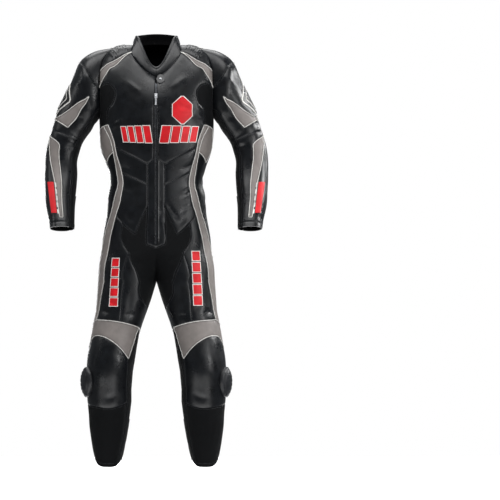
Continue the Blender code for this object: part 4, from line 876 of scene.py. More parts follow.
def plain_point(u, v):
    """As body_point, with the neck as wide as the form's first section."""
    row = body_section(v)
    wrap = np.radians(np.minimum(row["wrap"], 180.0))
    power = 2.0 / row["square"]
    share = np.maximum(-np.cos(wrap), 0.0) ** power
    axis = (row["reach"] * share + row["inner"]) / (1 + share)
    turn = wrap * (1 - 2 * u)
    across = np.cos(turn)
    along = np.sin(turn)
    depth = np.where(along > 0, row["front"], row["back"])
    proud = armour_height(u, v, BODY_ARMOUR)
    x = axis + (row["reach"] - axis) * signed_power(across, power)
    y = row["axis_y"] - (depth + proud) * signed_power(along, power)
    drop = np.where(along > 0, (row["front_z"] - row["side_z"]) * along**4,
                    (row["back_z"] - row["side_z"]) * along**2)
    low = np.clip((v - BODY_LENGTH) / HEM_BOW_RUN + 1, 0, 1)
    bow = HEM_BOW * low**2 * (1 - across**4 - HEM_BOW_LEVEL)
    return np.stack([x, y, row["side_z"] + drop - bow], axis=-1)


def armhole_place(q):
    """Where the armhole runs on the body surface."""
    turn = 2 * np.pi * np.asarray(q, float)
    half = np.where(np.sin(turn) > 0, ARMHOLE_FRONT_U, ARMHOLE_BACK_U)
    return 0.5 - half * np.sin(turn), ARMHOLE_V + ARMHOLE_HALF_V * np.cos(turn)


def sleeve_ring(q, s):
    """Points of the sleeve's own form, before it is drawn to the armhole."""
    row = sleeve_section(s)
    low = np.clip((s - SLEEVE_LENGTH) / HEM_BOW_RUN + 1, 0, 1)
    turn = 2 * np.pi * q
    lean = np.radians(row["lean"] - CUFF_TURN * low**2)
    power = 2.0 / row["square"]
    out = -signed_power(np.cos(turn), power)
    fore = signed_power(np.sin(turn), power)
    proud = armour_height(q, s, SLEEVE_ARMOUR)
    half_x = (row["outer_x"] - row["inner_x"]) / 2
    half_z = (row["outer_z"] - row["inner_z"]) / 2
    length = np.sqrt(half_x**2 + half_z**2)
    grow = 1 + proud / length
    depth = np.where(fore > 0, row["front"], row["back"]) + proud
    x = (row["outer_x"] + row["inner_x"]) / 2 + half_x * out * grow
    y = row["axis_y"] - depth * fore * np.cos(lean)
    z = (row["outer_z"] + row["inner_z"]) / 2 + half_z * out * grow + depth * fore * np.sin(lean)
    return np.stack([x, y, z], axis=-1)


def sleeve_point(q, s):
    """Points of the sleeve, which leaves the body surface along the armhole."""
    q = np.asarray(q, float)
    s = np.asarray(s, float)
    start = body_point(*armhole_place(q))
    f = np.clip(s / SLEEVE_EASE, 0, 1)
    fade = (1 - f) ** 2 * (1 + 2 * f)
    away = start - sleeve_ring(q, np.zeros_like(s))
    return sleeve_ring(q, s) + away * fade[..., None]


def surface_normal(point, u, v, top_u, top_v, round_u):
    """Unit normals pointing out of the garment."""
    step = 2e-3
    u = np.asarray(u, float)
    v = np.asarray(v, float)
    low_u = u - step if round_u else np.maximum(u - step, 0)
    high_u = u + step if round_u else np.minimum(u + step, top_u)
    low_v = np.maximum(v - step, 0)
    high_v = np.minimum(v + step, top_v)
    along_u = point(high_u, v) - point(low_u, v)
    along_v = point(u, high_v) - point(u, low_v)
    return unit(np.cross(along_v, along_u))


def body_normal(u, v):
    """As surface_normal, square to the centre plane on it."""
    inside_u = np.clip(u, 1e-4, 1 - 1e-4)
    normal = surface_normal(body_point, inside_u, v, 1.0, BODY_LENGTH, False)
    trunk = body_section(v)["inner"] <= CLOSE
    middle = trunk & ((np.asarray(u) < NEAR) | (np.asarray(u) > 1 - NEAR))
    normal[..., 0] = np.where(middle, 0, normal[..., 0])
    return unit(normal)


def sleeve_normal(q, s):
    """As surface_normal, all round the sleeve."""
    return surface_normal(sleeve_point, q, s, 1.0, SLEEVE_LENGTH, True)


# ---- Cutting the cloth ----------------------------------------------------

def miter(first, second):
    """The shared wall direction where two surfaces meet, long enough for both walls."""
    total = unit(first + second)
    cosine = np.clip(np.sum(total * first, axis=-1, keepdims=True), FOLD_COSINE, 1.0)
    return total / cosine


class Surface:
    """A surface with a flat domain, on which seams are drawn and panels are cut."""

    def __init__(self, point, normal, length, round_scale, wraps, extra=None):
        self.point = point
        self.normal = normal
        self.length = length
        self.scale = round_scale
        self.wraps = wraps
        us, vs = np.meshgrid(np.linspace(0, 1, SEARCH_ACROSS), np.linspace(0, length, SEARCH_DOWN))
        self.search = us.ravel(), vs.ravel(), point(us.ravel(), vs.ravel())
        self.seam_tree = None
        self.creases = []
        self.extra = extra
        self.extra_rows = []

    def place(self, first, second, face):
        """The (u, v) of a point given as seen from the front, from behind or on the side."""
        if face == "Q":
            return first, second * MM
        us, vs, points = self.search
        x = first * MM
        z = second * MM
        if face == "S":
            near = np.where(np.abs(us - 0.5) < CLOSE, np.abs(points[:, 2] - z), FAR)
        else:
            side = us <= 0.5 if face == "F" else us >= 0.5
            away = (points[:, 0] - x) ** 2 + (points[:, 2] - z) ** 2
            near = np.where(side, away, FAR)
        best = int(np.argmin(near))
        u = us[best]
        v = vs[best]
        low, high = {"F": (0.0, 0.5), "B": (0.5, 1.0), "S": (0.5, 0.5)}[face]
        for step in SEARCH_STEPS:
            for _ in range(SEARCH_ROUNDS):
                tries_u = np.clip(u + step * SEARCH_U, low, high)
                tries_v = np.clip(v + step * SEARCH_V, 0, self.length)
                found = self.point(tries_u, tries_v)
                across = 0.0 if face == "S" else (found[:, 0] - x) ** 2
                choice = int(np.argmin(across + (found[:, 2] - z) ** 2))
                u = tries_u[choice]
                v = tries_v[choice]
        return float(u), float(v)

    def flat(self, u, v):
        """Places in the flat domain, where u is stretched to near its true length."""
        return np.stack([np.asarray(u) * self.scale, np.asarray(v)], axis=-1)

    def inside(self, u, v):
        """Which places are on the surface."""
        around = True if self.wraps else (u >= 0) & (u <= 1)
        return around & (v >= 0) & (v <= self.length)

    def shift(self, u, v, move):
        """The places reached by going a small way along the surface."""
        step = 1e-3
        if self.wraps:
            low_u, high_u = u - step, u + step
        else:
            low_u, high_u = np.maximum(u - step, 0), np.minimum(u + step, 1)
        low_v, high_v = np.maximum(v - step, 0), np.minimum(v + step, self.length)
        along_u = (self.point(high_u, v) - self.point(low_u, v)) / (high_u - low_u)[:, None]
        along_v = (self.point(u, high_v) - self.point(u, low_v)) / (high_v - low_v)[:, None]
        uu = np.sum(along_u**2, axis=1)
        uv = np.sum(along_u * along_v, axis=1)
        vv = np.sum(along_v**2, axis=1)
        on_u = np.sum(along_u * move, axis=1)
        on_v = np.sum(along_v * move, axis=1)
        spread = np.maximum(uu * vv - uv**2, TINY)
        return u + (on_u * vv - on_v * uv) / spread, v + (on_v * uu - on_u * uv) / spread

    def beside(self, line, offset):
        """A run of places at one distance from a line, to its left for a positive offset."""
        u, v = np.array(line).T
        tangent = np.gradient(self.point(u, v), axis=0)
        side = unit(np.cross(self.normal(u, v), tangent))
        return self.shift(u, v, side * offset)

    def remember(self, lines):
        """Keeps the seams, to measure how far from them a point is."""
        places = np.concatenate([np.array(line) for line in lines])
        self.seam_tree = point_tree(self.point(places[:, 0], places[:, 1]))

    def from_seam(self, points):
        """How far each point is from the nearest seam."""
        return np.array([self.seam_tree.find(point)[2] for point in points])

    def relief(self, u, v, side):
        """How far the cloth stands off its plain surface, on one side of the suit."""
        points = self.point(u, v)
        away = self.from_seam(points)
        height = PUFF * (1 - np.exp(-((away / PUFF_WIDTH) ** 2)))
        height = height - SEAM_DEPTH * np.exp(-((away / SEAM_WIDTH) ** 2))
        if self.extra:
            height = height + self.extra(points, u, side)
        low = self.length - v
        height = height + HEM_ROLL * np.exp(-((low / HEM_ROLL_WIDE) ** 2))
        height = height - HEM_GROOVE * np.exp(-(((low - HEM_WIDE) / HEM_GROOVE_WIDE) ** 2))
        free = 1 - np.exp(-((away / CREASE_CLEAR) ** 2))
        middle = 1 - np.exp(-((points[:, 0] / MIDDLE_CLEAR) ** 2))
        for crease in self.creases:
            if side in crease.sides:
                keep = free if crease.sides == "LR" else free * middle
                height = height + crease.height(points) * keep
        return height

    def raised(self, u, v, side, lift):
        """Points on the creased cloth, moved out by lift, and their normals."""
        normal = self.normal(u, v)
        height = self.relief(u, v, side)
        return self.point(u, v) + normal * (height + lift)[:, None], normal


class Crease:
    """A soft trough or ridge along a path on one surface."""

    def __init__(self, surface, sides, width, depth, ends, places):
        self.sides = sides
        self.width = width * MM
        self.depth = depth * MM
        self.ends = ends
        self.run = smooth_run([surface.place(*place) for place in places], surface, CREASE_STEP)
        self.path = surface.point(*np.array(self.run).T)

    def height(self, points):
        """How far the crease raises each point."""
        reach = CREASE_REACH * self.width
        low = self.path.min(axis=0) - reach
        high = self.path.max(axis=0) + reach
        near = np.all((points > low) & (points < high), axis=1)
        height = np.zeros(len(points))
        if not near.any():
            return height
        here = points[near]
        starts = self.path[:-1]
        steps = self.path[1:] - starts
        lengths = np.maximum(np.sum(steps**2, axis=1), TINY)
        best = np.full(len(here), FAR)
        along = np.zeros(len(here))
        for index, (start, step, length) in enumerate(zip(starts, steps, lengths)):
            f = np.clip(np.sum((here - start) * step, axis=1) / length, 0, 1)
            away = np.sum((here - start - f[:, None] * step) ** 2, axis=1)
            closer = away < best
            best = np.where(closer, away, best)
            along = np.where(closer, (index + f) / len(starts), along)
        fade = np.clip(np.minimum(along, 1 - along) / self.ends, 0, 1)
        fade = fade * fade * (3 - 2 * fade)
        height[near] = self.depth * fade * np.exp(-best / self.width**2)
        return height


def smooth_run(points, surface, step):
    """A smooth run through the points, about one step apart."""
    places = np.array(points, float)
    if len(places) == 2:
        slopes = np.stack([places[1] - places[0]] * 2)
    else:
        slopes = np.gradient(places, axis=0)
    run = [tuple(places[0])]
    for index in range(len(places) - 1):
        a, b = places[index], places[index + 1]
        gap = np.linalg.norm(surface.point(*b) - surface.point(*a))
        count = max(1, int(round(gap / step)))
        for part in range(1, count + 1):
            f = part / count
            middle = eased(a, b, slopes[index], slopes[index + 1], f)
            run.append(tuple(b if part == count else middle))
    return run


def nearest(options, place, surface):
    """The one of the options that is nearest to the place."""
    flat = surface.flat(*np.array(options).T)
    here = surface.flat(*place)
    return options[int(np.argmin(np.sum((flat - here) ** 2, axis=1)))]


def neck_places(parts):
    """Places round the neck edge."""
    return [(i / parts, 0.0) for i in range(parts + 1)]


def armhole_places(parts):
    """Places round the armhole."""
    us, vs = armhole_place(np.arange(parts) / parts)
    return list(zip(us.tolist(), vs.tolist()))


def body_snap(edge, place):
    """Brings a seam's end onto the edge it meets."""
    u, v = place
    if edge == "neck":
        return nearest(neck_places(NECK_POINTS), place, BODY)
    if edge == "armhole":
        return nearest(armhole_places(ARMHOLE_POINTS), place, BODY)
    if edge == "hem":
        return (u, BODY_LENGTH)
    return (0.0, v) if u < 0.5 else (1.0, v)


def sleeve_snap(edge, place):
    """As body_snap, on the sleeve."""
    if edge == "armhole":
        return (round(place[0] * ARMHOLE_POINTS) / ARMHOLE_POINTS, 0.0)
    return (place[0], SLEEVE_LENGTH)


def drawn_seams(seams, surface, snap):
    """Each seam by its name, as a run of (u, v)."""
    lines = {}
    for name, start, end, faces, *numbers in seams:
        places = [surface.place(*point) for point in face_points(faces, numbers)]
        for index, edge in ((0, start), (-1, end)):
            if edge:
                places[index] = snap(edge, places[index])
        lines[name] = smooth_run(places, surface, SEAM_STEP)
    return lines


def long_sides(surface, seam_lines, shared_from):
    """The same stops down both long sides of the domain."""
    stops = {0.0, surface.length, *shared_from}
    for line in seam_lines:
        for u, v in (line[0], line[-1]):
            if u <= CLOSE or u >= 1 - CLOSE:
                stops.add(v)
    ordered = sorted(stops)
    side = [ordered[0]]
    for stop in ordered[1:]:
        start = side[-1]
        if stop - start < NEAR:
            continue
        count = max(1, int(round((stop - start) / SPACING)))
        side.extend(start + (stop - start) * k / count for k in range(1, count + 1))
    return side


def low_edge(surface, seam_lines, count):
    """The points of the hem or cuff, with every seam that ends there."""
    places = {k / count for k in range(count + 1)}
    for line in seam_lines:
        for u, v in (line[0], line[-1]):
            if v >= surface.length - CLOSE:
                places = {b for b in places if abs(b - u) > END_SHARE / count or b in (0, 1)}
                places.add(u)
    return sorted(places)


def in_armhole(u, v):
    """Which places of the body the armhole cuts away."""
    half = np.where(u < 0.5, ARMHOLE_FRONT_U, ARMHOLE_BACK_U)
    return np.hypot((u - 0.5) / half, (v - ARMHOLE_V) / ARMHOLE_HALF_V) < 1.0


def nowhere(u, _):
    """As in_armhole, on the sleeve, which has no hole."""
    return np.zeros(np.shape(u), bool)


def spread_points(surface, keep_out, rows, edges):
    """Points for the cloth: rows beside seams and creases, then an even spread."""
    edge_tree = point_tree([surface.point(u, v) for edge in edges for u, v in edge])
    taken = []

    def wanted(u, v, seam_gap, edge_gap):
        ok = surface.inside(u, v) & ~keep_out(u, v)
        u, v = u[ok], v[ok]
        points = surface.point(u, v)
        away = surface.from_seam(points)
        beyond = np.array([edge_tree.find(point)[2] for point in points])
        ok = (away > seam_gap) & (beyond > edge_gap)
        return u[ok], v[ok], points[ok]

    for line, offset, gap in rows:
        u, v = surface.beside(line, offset)
        if surface.wraps:
            u = u % 1.0
        taken.append(wanted(u, v, gap, ROW_TO_EDGE))
    tree = point_tree(np.concatenate([points for _, _, points in taken]))
    count_rows = int(surface.length / ROW_SPACING)
    us, vs = [], []
    for row in range(1, count_rows):
        v = surface.length * row / count_rows
        around = surface.point(np.linspace(0, 1, GIRTH_POINTS), np.full(GIRTH_POINTS, v))
        girth = np.sum(np.linalg.norm(np.diff(around, axis=0), axis=1))
        count = max(LEAST_AROUND, int(round(girth / SPACING)))
        us.append((np.arange(count) + (0.5 if row % 2 else 0.0)) / count)
        vs.append(np.full(count, v))
    u, v, points = wanted(np.concatenate(us), np.concatenate(vs), CLEAR_OF_SEAM, CLEAR_OF_EDGE)
    free = np.array([tree.find(point)[2] > CLEAR_OF_POINT for point in points])
    u = np.concatenate([part[0] for part in taken] + [u[free]])
    v = np.concatenate([part[1] for part in taken] + [v[free]])
    return list(zip(u.tolist(), v.tolist()))


def triangulate(surface, lines, points):
    """Triangles of the domain, and which pairs of them a seam divides."""
    index = {}
    verts = []
    edges = []

    def add(place):
        key = (round(place[0], 6), round(place[1], 6))
        if key not in index:
            index[key] = len(verts)
            verts.append(Vector((place[0] * surface.scale, place[1])))
        return index[key]

    for line in lines:
        run = [add(place) for place in line]
        edges.extend((a, b) for a, b in zip(run, run[1:]) if a != b)
    for place in points:
        add(place)
    out, out_edges, faces, _, from_edges, _ = delaunay_2d_cdt(verts, edges, [], 0, NEAR, True)
    places = np.array([(p.x / surface.scale, p.y) for p in out])
    walls = {tuple(sorted(edge)) for edge, source in zip(out_edges, from_edges) if source}
    return places, [tuple(face) for face in faces], walls


def holding(places, faces, seed):
    """The number of the triangle that holds a place."""
    a, b, c = (places[np.array(faces)[:, k]] for k in range(3))
    turns = []
    for start, end in ((a, b), (b, c), (c, a)):
        way = end - start
        turns.append(way[:, 0] * (seed[1] - start[:, 1]) - way[:, 1] * (seed[0] - start[:, 0]))
    turns = np.stack(turns)
    within = (turns.min(axis=0) >= 0) | (turns.max(axis=0) <= 0)
    return int(np.argmax(within))


def edges_of(face):
    """The edges round a face, as pairs of its points."""
    return zip(face, face[1:] + face[:1])


def shifted(faces, step):
    """The same faces on points that come later by one step."""
    return [tuple(i + step for i in face) for face in faces]


def turned(faces):
    """The same faces, seen from their other side."""
    return [face[::-1] for face in faces]


def label_panels(places, faces, walls, seeds):
    """Fills each panel outwards from its seed, stopping at seams."""
    beside = {}
    for number, face in enumerate(faces):
        for a, b in edges_of(face):
            beside.setdefault((a, b) if a < b else (b, a), []).append(number)
    labels = [None] * len(faces)
    for name, seed in seeds:
        start = holding(places, faces, seed)
        if labels[start] is not None:
            raise ValueError(f"no region of its own for {name}: {labels[start]}")
        labels[start] = name
        todo = [start]
        while todo:
            face = faces[todo.pop()]
            for a, b in edges_of(face):
                key = (a, b) if a < b else (b, a)
                if key in walls:
                    continue
                for other in beside[key]:
                    if labels[other] is None:
                        labels[other] = name
                        todo.append(other)
    return labels


def welded(points, normals, faces):
    """Joins points in the same place, with their mean normal."""
    lookup = {}
    remap = []
    kept_points = []
    sums = []
    longest = []
    lengths = np.linalg.norm(normals, axis=1)
    for point, normal, length in zip(points, normals, lengths):
        key = tuple(np.round(point / WELD).astype(int))
        if key not in lookup:
            lookup[key] = len(kept_points)
            kept_points.append(point)
            sums.append(np.zeros(3))
            longest.append(0.0)
        found = lookup[key]
        sums[found] = sums[found] + normal
        longest[found] = max(longest[found], length)
        remap.append(found)
    sums = np.array(sums)
    scale = np.array(longest) / np.maximum(np.linalg.norm(sums, axis=1), TINY)
    kept = [tuple(remap[i] for i in face) for face in faces]
    kept = [face for face in kept if len(set(face)) == 3]
    return np.array(kept_points), sums * scale[:, None], kept


def used_only(points, normals, faces):
    """Only the points that the faces use."""
    order = sorted({i for face in faces for i in face})
    new = {old: k for k, old in enumerate(order)}
    return points[order], normals[order], [tuple(new[i] for i in face) for face in faces]


def rim_edges(faces):
    """The edges that only one face has, in its direction."""
    rim = {}
    for face in faces:
        for a, b in edges_of(face):
            if (b, a) in rim:
                del rim[(b, a)]
            else:
                rim[(a, b)] = True
    return list(rim)


def wall_mesh(points, normals, faces, thickness, inset):
    """A closed wall: the outer points drawn in at the seams, and the inner points."""
    rim = rim_edges(faces)
    inward = {}
    for a, b in rim:
        side = np.cross(normals[a] + normals[b], points[b] - points[a])
        side = side / max(np.linalg.norm(side), TINY)
        inward.setdefault(a, []).append(side)
        inward.setdefault(b, []).append(side)
    outer = points.copy()
    for vertex, sides in inward.items():
        total = np.sum(sides, axis=0)
        length = np.linalg.norm(total)
        if length < CLOSE:
            continue
        total = total / length
        cosine = max(CORNER_COSINE, min(float(np.dot(total, side)) for side in sides))
        outer[vertex] = outer[vertex] + total * inset / cosine
    inner = outer - normals * thickness
    count = len(points)
    edges = [(b, a, a + count, b + count) for a, b in rim]
    return np.concatenate([outer, inner]), list(faces), shifted(turned(faces), count), edges


def facing_out(points, normals, faces):
    """Turns the triangles so that they run anticlockwise as seen from outside."""
    ring = np.array(faces)
    a, b, c = (points[ring[:, k]] for k in range(3))
    mean = normals[ring[:, 0]] + normals[ring[:, 1]] + normals[ring[:, 2]]
    good = np.sum(np.cross(b - a, c - a) * mean, axis=1) > 0
    return [face if ok else face[::-1] for face, ok in zip(faces, good)]


def closed(top, low, faces):
    """A closed piece from two layers of points that have the same faces."""
    count = len(top)
    rim = [(b, a, a + count, b + count) for a, b in rim_edges(faces)]
    return np.concatenate([top, low]), list(faces) + shifted(turned(faces), count) + rim


def mirror(points):
    """The same points on the other side of the suit."""
    return points * np.array([-1.0, 1.0, 1.0])


# ---- The collar -----------------------------------------------------------

def collar_point(u, h):
    """The collar stands on the neck edge and leans in towards the plain neck, h from 0 to 1."""
    u = np.asarray(u, float)
    foot = body_point(u, np.zeros_like(u))
    rise = np.asarray(h, float)[..., None]
    base = foot + (plain_point(u, np.zeros_like(u)) - foot) * rise
    shrink = 1 - (1 - COLLAR_TAPER) * h**COLLAR_BEND
    x = base[..., 0] * shrink
    y = COLLAR_MIDDLE_Y + (base[..., 1] - COLLAR_MIDDLE_Y) * shrink
    return np.stack([x, y, base[..., 2] + COLLAR_HEIGHT * h], axis=-1)


def collar_normal(u):
    """Unit normals of the collar's foot, pointing away from the neck."""
    u = np.asarray(u, float)
    step = 1e-3
    inside = np.clip(u, step, 1 - step)
    low = np.zeros_like(u)
    foot = collar_point(inside, low)
    along_u = collar_point(inside + step, low) - collar_point(inside - step, low)
    along_h = collar_point(inside, low + 0.05) - foot
    normal = np.cross(along_u, along_h)
    outward = foot - np.array([0.0, COLLAR_MIDDLE_Y, 0.0])
    outward[..., 2] = 0
    normal = normal * np.where(np.sum(normal * outward, axis=-1, keepdims=True) < 0, -1, 1)
    normal[..., 0] = np.where((u < NEAR) | (u > 1 - NEAR), 0, normal[..., 0])
    return unit(normal)


def build_collar():
    """One band of leather, open at the front middle, with a padded, rolled top edge."""
    us = np.arange(NECK_FINE + 1) / NECK_FINE
    points = []
    for away, h, drop in COLLAR_PROFILE:
        facing = collar_normal(us)
        ring = collar_point(us, np.full_like(us, h)) + facing * (away * MM)
        points.append(ring - np.array([0.0, 0.0, drop * MM]))
    across = len(us)
    count = len(COLLAR_PROFILE)
    points = np.concatenate(points)
    faces = []
    for row in range(count - 1):
        for k in range(across - 1):
            a = row * across + k
            faces += [(a, a + 1, a + across), (a + 1, a + across + 1, a + across)]
    at_front = (points[:, 0] < CLOSE) & (points[:, 1] < 0)
    points[at_front, 0] += COLLAR_FRONT_GAP / 2
    total = len(points)
    verts = np.concatenate([points, mirror(points)])
    end = [tuple(row * across for row in range(count))]
    all_faces = faces + shifted(turned(faces), total) + end + shifted(turned(end), total)
    last = (count - 1) * across
    for k in range(across - 1):
        a = last + k
        all_faces += [(a, a + 1, k + 1, k), (k + total, k + 1 + total, a + 1 + total, a + total)]
    mesh = bmesh.new()
    made = [mesh.verts.new(tuple(map(float, vert))) for vert in verts]
    for face in all_faces:
        ring = mesh.faces.new([made[i] for i in face])
        rows_of = [i % total // across for i in face]
        ring.material_index = int(min(rows_of) >= COLLAR_INSIDE_ROW)
    bmesh.ops.remove_doubles(mesh, verts=mesh.verts, dist=COLLAR_WELD)
    bmesh.ops.recalc_face_normals(mesh, faces=mesh.faces)
    ready = bpy.data.meshes.new("collar_cloth")
    mesh.to_mesh(ready)
    mesh.free()
    ready.materials.append(MATERIALS["leather"])
    ready.materials.append(MATERIALS["lining"])
    ready.shade_smooth()
    ready.set_sharp_from_angle(angle=COLLAR_SHARP_ANGLE)
    piece = bpy.data.objects.new("collar_cloth", ready)
    bpy.context.scene.collection.objects.link(piece)
    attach(piece, "root")
    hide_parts("collar")
    middle = collar_point(us, np.full_like(us, 0.5))
    length = 2 * float(np.sum(np.linalg.norm(np.diff(middle, axis=0), axis=1)))
    high = COLLAR_HEIGHT + 2 * COLLAR_TURN
    SHEETS["collar_cloth"] = (high, length, FULL_SHARE * length * high)


# ---- The cloth ------------------------------------------------------------

def make_mesh(name, verts, faces, material, second=(), second_material=None, smooth=True):
    """A mesh object; the faces in second have a material of their own."""
    mesh = bpy.data.meshes.new(name)
    all_faces = list(faces) + list(second)
    mesh.from_pydata([tuple(map(float, vert)) for vert in verts], [], all_faces)
    mesh.update()
    mesh.materials.append(MATERIALS[material])
    if second:
        mesh.materials.append(MATERIALS[second_material])
        slots = np.zeros(len(all_faces), np.int32)
        slots[len(faces):] = 1
        mesh.polygons.foreach_set("material_index", slots)
    if smooth:
        mesh.shade_smooth()
        mesh.set_sharp_from_angle(angle=SHARP_ANGLE)
    piece = bpy.data.objects.new(name, mesh)
    bpy.context.scene.collection.objects.link(piece)
    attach(piece, "root")
    return piece


def flat_size(points, faces):
    """The size that the piece was cut to: its width and length laid flat, and its area."""
    ring = np.array(faces)
    a, b, c = (points[ring[:, k]] for k in range(3))
    area = float(np.sum(np.linalg.norm(np.cross(b - a, c - a), axis=1)) / 2)
    span = np.ptp(points, axis=0)
    centre = points - points.mean(axis=0)
    _, _, axes = np.linalg.svd(centre, full_matrices=False)
    along = centre @ axes[0]
    across = centre @ axes[1]
    length = float(np.ptp(along))
    width = float(np.ptp(across))
    fill = max(1.0, area / (FULL_SHARE * width * length))
    length = max(length, float(max(span)))
    width = max(width * fill, area / (FULL_SHARE * length))
    if area < LEAST_SHARE * width * length:
        width = area / (LEAST_SHARE * length)
    return max(width, LEAST_SIDE), max(length, LEAST_SIDE), area


def add_cloth(node, points, normals, faces, material):
    """One cut piece: a closed thin wall that stands for its solid."""
    name = f"{node}_cloth"
    points, normals, faces = used_only(points, normals, faces)
    points, normals, faces = welded(points, normals, faces)
    faces = facing_out(points, normals, faces)
    verts, outside, inside, edges = wall_mesh(points, normals, faces, WALL, SEAM_GAP / 2)
    piece = make_mesh(name, verts, outside + edges, material, inside, "lining")
    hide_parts(node)
    SHEETS[name] = flat_size(points, faces)


def panel_faces(faces, labels, name):
    """The triangles of one panel."""
    return [face for face, label in zip(faces, labels) if label == name]


def cut_surface(surface, seams, snap, panels, extra, keep_out, top, shared, holes, openings):
    """Cuts a surface along its seams; gives its places, triangles and their panels."""
    named = drawn_seams(seams, surface, snap)
    lines = list(named.values())
    side = long_sides(surface, lines, shared)
    low = low_edge(surface, lines, LOW_POINTS["sleeve" if surface.wraps else "body"])
    edges = [[(u, 0.0) for u in top], [(u, surface.length) for u in low],
             [(0.0, v) for v in side], [(1.0, v) for v in side]]
    if holes:
        edges.append(holes + holes[:1])
    named.update(openings(side))
    seam_lines = lines + [line for line in named.values() if line not in lines]
    surface.remember(seam_lines)
    rows = []
    for line in seam_lines:
        for offset in BESIDE_SEAM:
            gap = BESIDE_SHARE * offset
            rows += [(line, offset, gap), (line, -offset, gap)]
    rows += surface.extra_rows
    points = spread_points(surface, keep_out, rows, edges)
    places, faces, walls = triangulate(surface, lines + edges, points)
    seeds = [(panel[0], np.array(surface.place(*panel[1]))) for panel in panels]
    seeds += [(name + "*", np.array(seed)) for name, seed in extra]
    labels = [label and label.rstrip("*")
              for label in label_panels(places, faces, walls, seeds)]
    return places, faces, labels, named


def at_places(places, wanted, surface):
    """Which points of the cloth lie at the wanted places."""
    tree = point_tree([(*point, 0) for point in surface.flat(*places.T)])
    sought = surface.flat(*np.array(wanted).T)
    return np.array([tree.find((*point, 0))[1] for point in sought])


def body_openings(side):
    """The seams on the long sides of the body: the inseam and the seat seam."""
    inner = [(0.0, v) for v in side if CROTCH_V - NEAR <= v <= INSEAM_END[0] + NEAR]
    outer = [(1.0, v) for v in side if INSEAM_END[1] - NEAR <= v <= INSEAM_END[2] + NEAR]
    armhole = armhole_places(ARMHOLE_FINE)
    return {"inseam": inner, "seat seam": outer, "armhole": armhole + armhole[:1],
            "neck": neck_places(NECK_FINE)}


def build_body():
    """Cuts the trunk and legs into their panels; gives the seams by name."""
    armhole = armhole_places(ARMHOLE_FINE)
    neck = neck_places(NECK_FINE)
    places, faces, labels, named = cut_surface(
        BODY, BODY_SEAMS, body_snap, BODY_PANELS, (("calf_panel", CALF_INNER),), in_armhole,
        [u for u, _ in neck], (CROTCH_V,), armhole, body_openings)
    u, v = places.T
    plain = body_point(u, v)
    walls = body_normal(u, v)
    at_armhole = at_places(places, armhole, BODY)
    qs = np.arange(ARMHOLE_FINE) / ARMHOLE_FINE
    shared = miter(body_normal(*np.array(armhole).T), sleeve_normal(qs, np.zeros(ARMHOLE_FINE)))
    at_neck = at_places(places, neck, BODY)
    neck_u = np.array([u for u, _ in neck])
    neck_normals = miter(body_normal(neck_u, np.zeros(len(neck_u))), collar_normal(neck_u))
    walls[at_armhole] = shared
    walls[at_neck] = neck_normals
    cloth = {}
    for side in "LR":
        points = plain + walls * BODY.relief(u, v, side)[:, None]
        cloth[side] = points
        for name, _, material, middle in BODY_PANELS:
            if not middle:
                placed = mirror(points) if side == "R" else points
                facing = mirror(walls) if side == "R" else walls
                add_cloth(f"{name}_{side}", placed, facing, panel_faces(faces, labels, name),
                          material)
    count = len(places)
    points = np.concatenate([cloth["L"], mirror(cloth["R"])])
    facing = np.concatenate([walls, mirror(walls)])
    for name, _, material, middle in BODY_PANELS:
        if middle:
            chosen = panel_faces(faces, labels, name)
            chosen += shifted(chosen, count)
            add_cloth(name, points, facing, chosen, material)
    return named


def sleeve_openings(_):
    """The seam at the head of the sleeve."""
    return {"armhole": [(k / ARMHOLE_FINE, 0.0) for k in range(ARMHOLE_FINE + 1)]}


def build_sleeves():
    """As build_body, for the two sleeves."""
    top = [k / ARMHOLE_FINE for k in range(ARMHOLE_FINE + 1)]
    places, faces, labels, named = cut_surface(
        SLEEVE, SLEEVE_SEAMS, sleeve_snap, SLEEVE_PANELS, (("under_sleeve", UNDER_REAR),),
        nowhere, top, (), [], sleeve_openings)
    q, s = places.T
    plain = sleeve_point(q, s)
    walls = sleeve_normal(q, s)
    at_armhole = np.where(s < CLOSE)[0]
    body_side = body_normal(*armhole_place(q[at_armhole]))
    walls[at_armhole] = miter(body_side, walls[at_armhole])
    for side in "LR":
        points = plain + walls * SLEEVE.relief(q, s, side)[:, None]
        placed = mirror(points) if side == "R" else points
        facing = mirror(walls) if side == "R" else walls
        for name, _, material in SLEEVE_PANELS:
            add_cloth(f"{name}_{side}", placed, facing, panel_faces(faces, labels, name),
                      material)
    return named


# ---- Materials ------------------------------------------------------------

def srgb(red, green, blue):
    """A linear colour from one given as 0 to 255."""
    values = [value / 255 for value in (red, green, blue)]
    return tuple(v / 12.92 if v <= 0.04045 else ((v + 0.055) / 1.055) ** 2.4 for v in values)


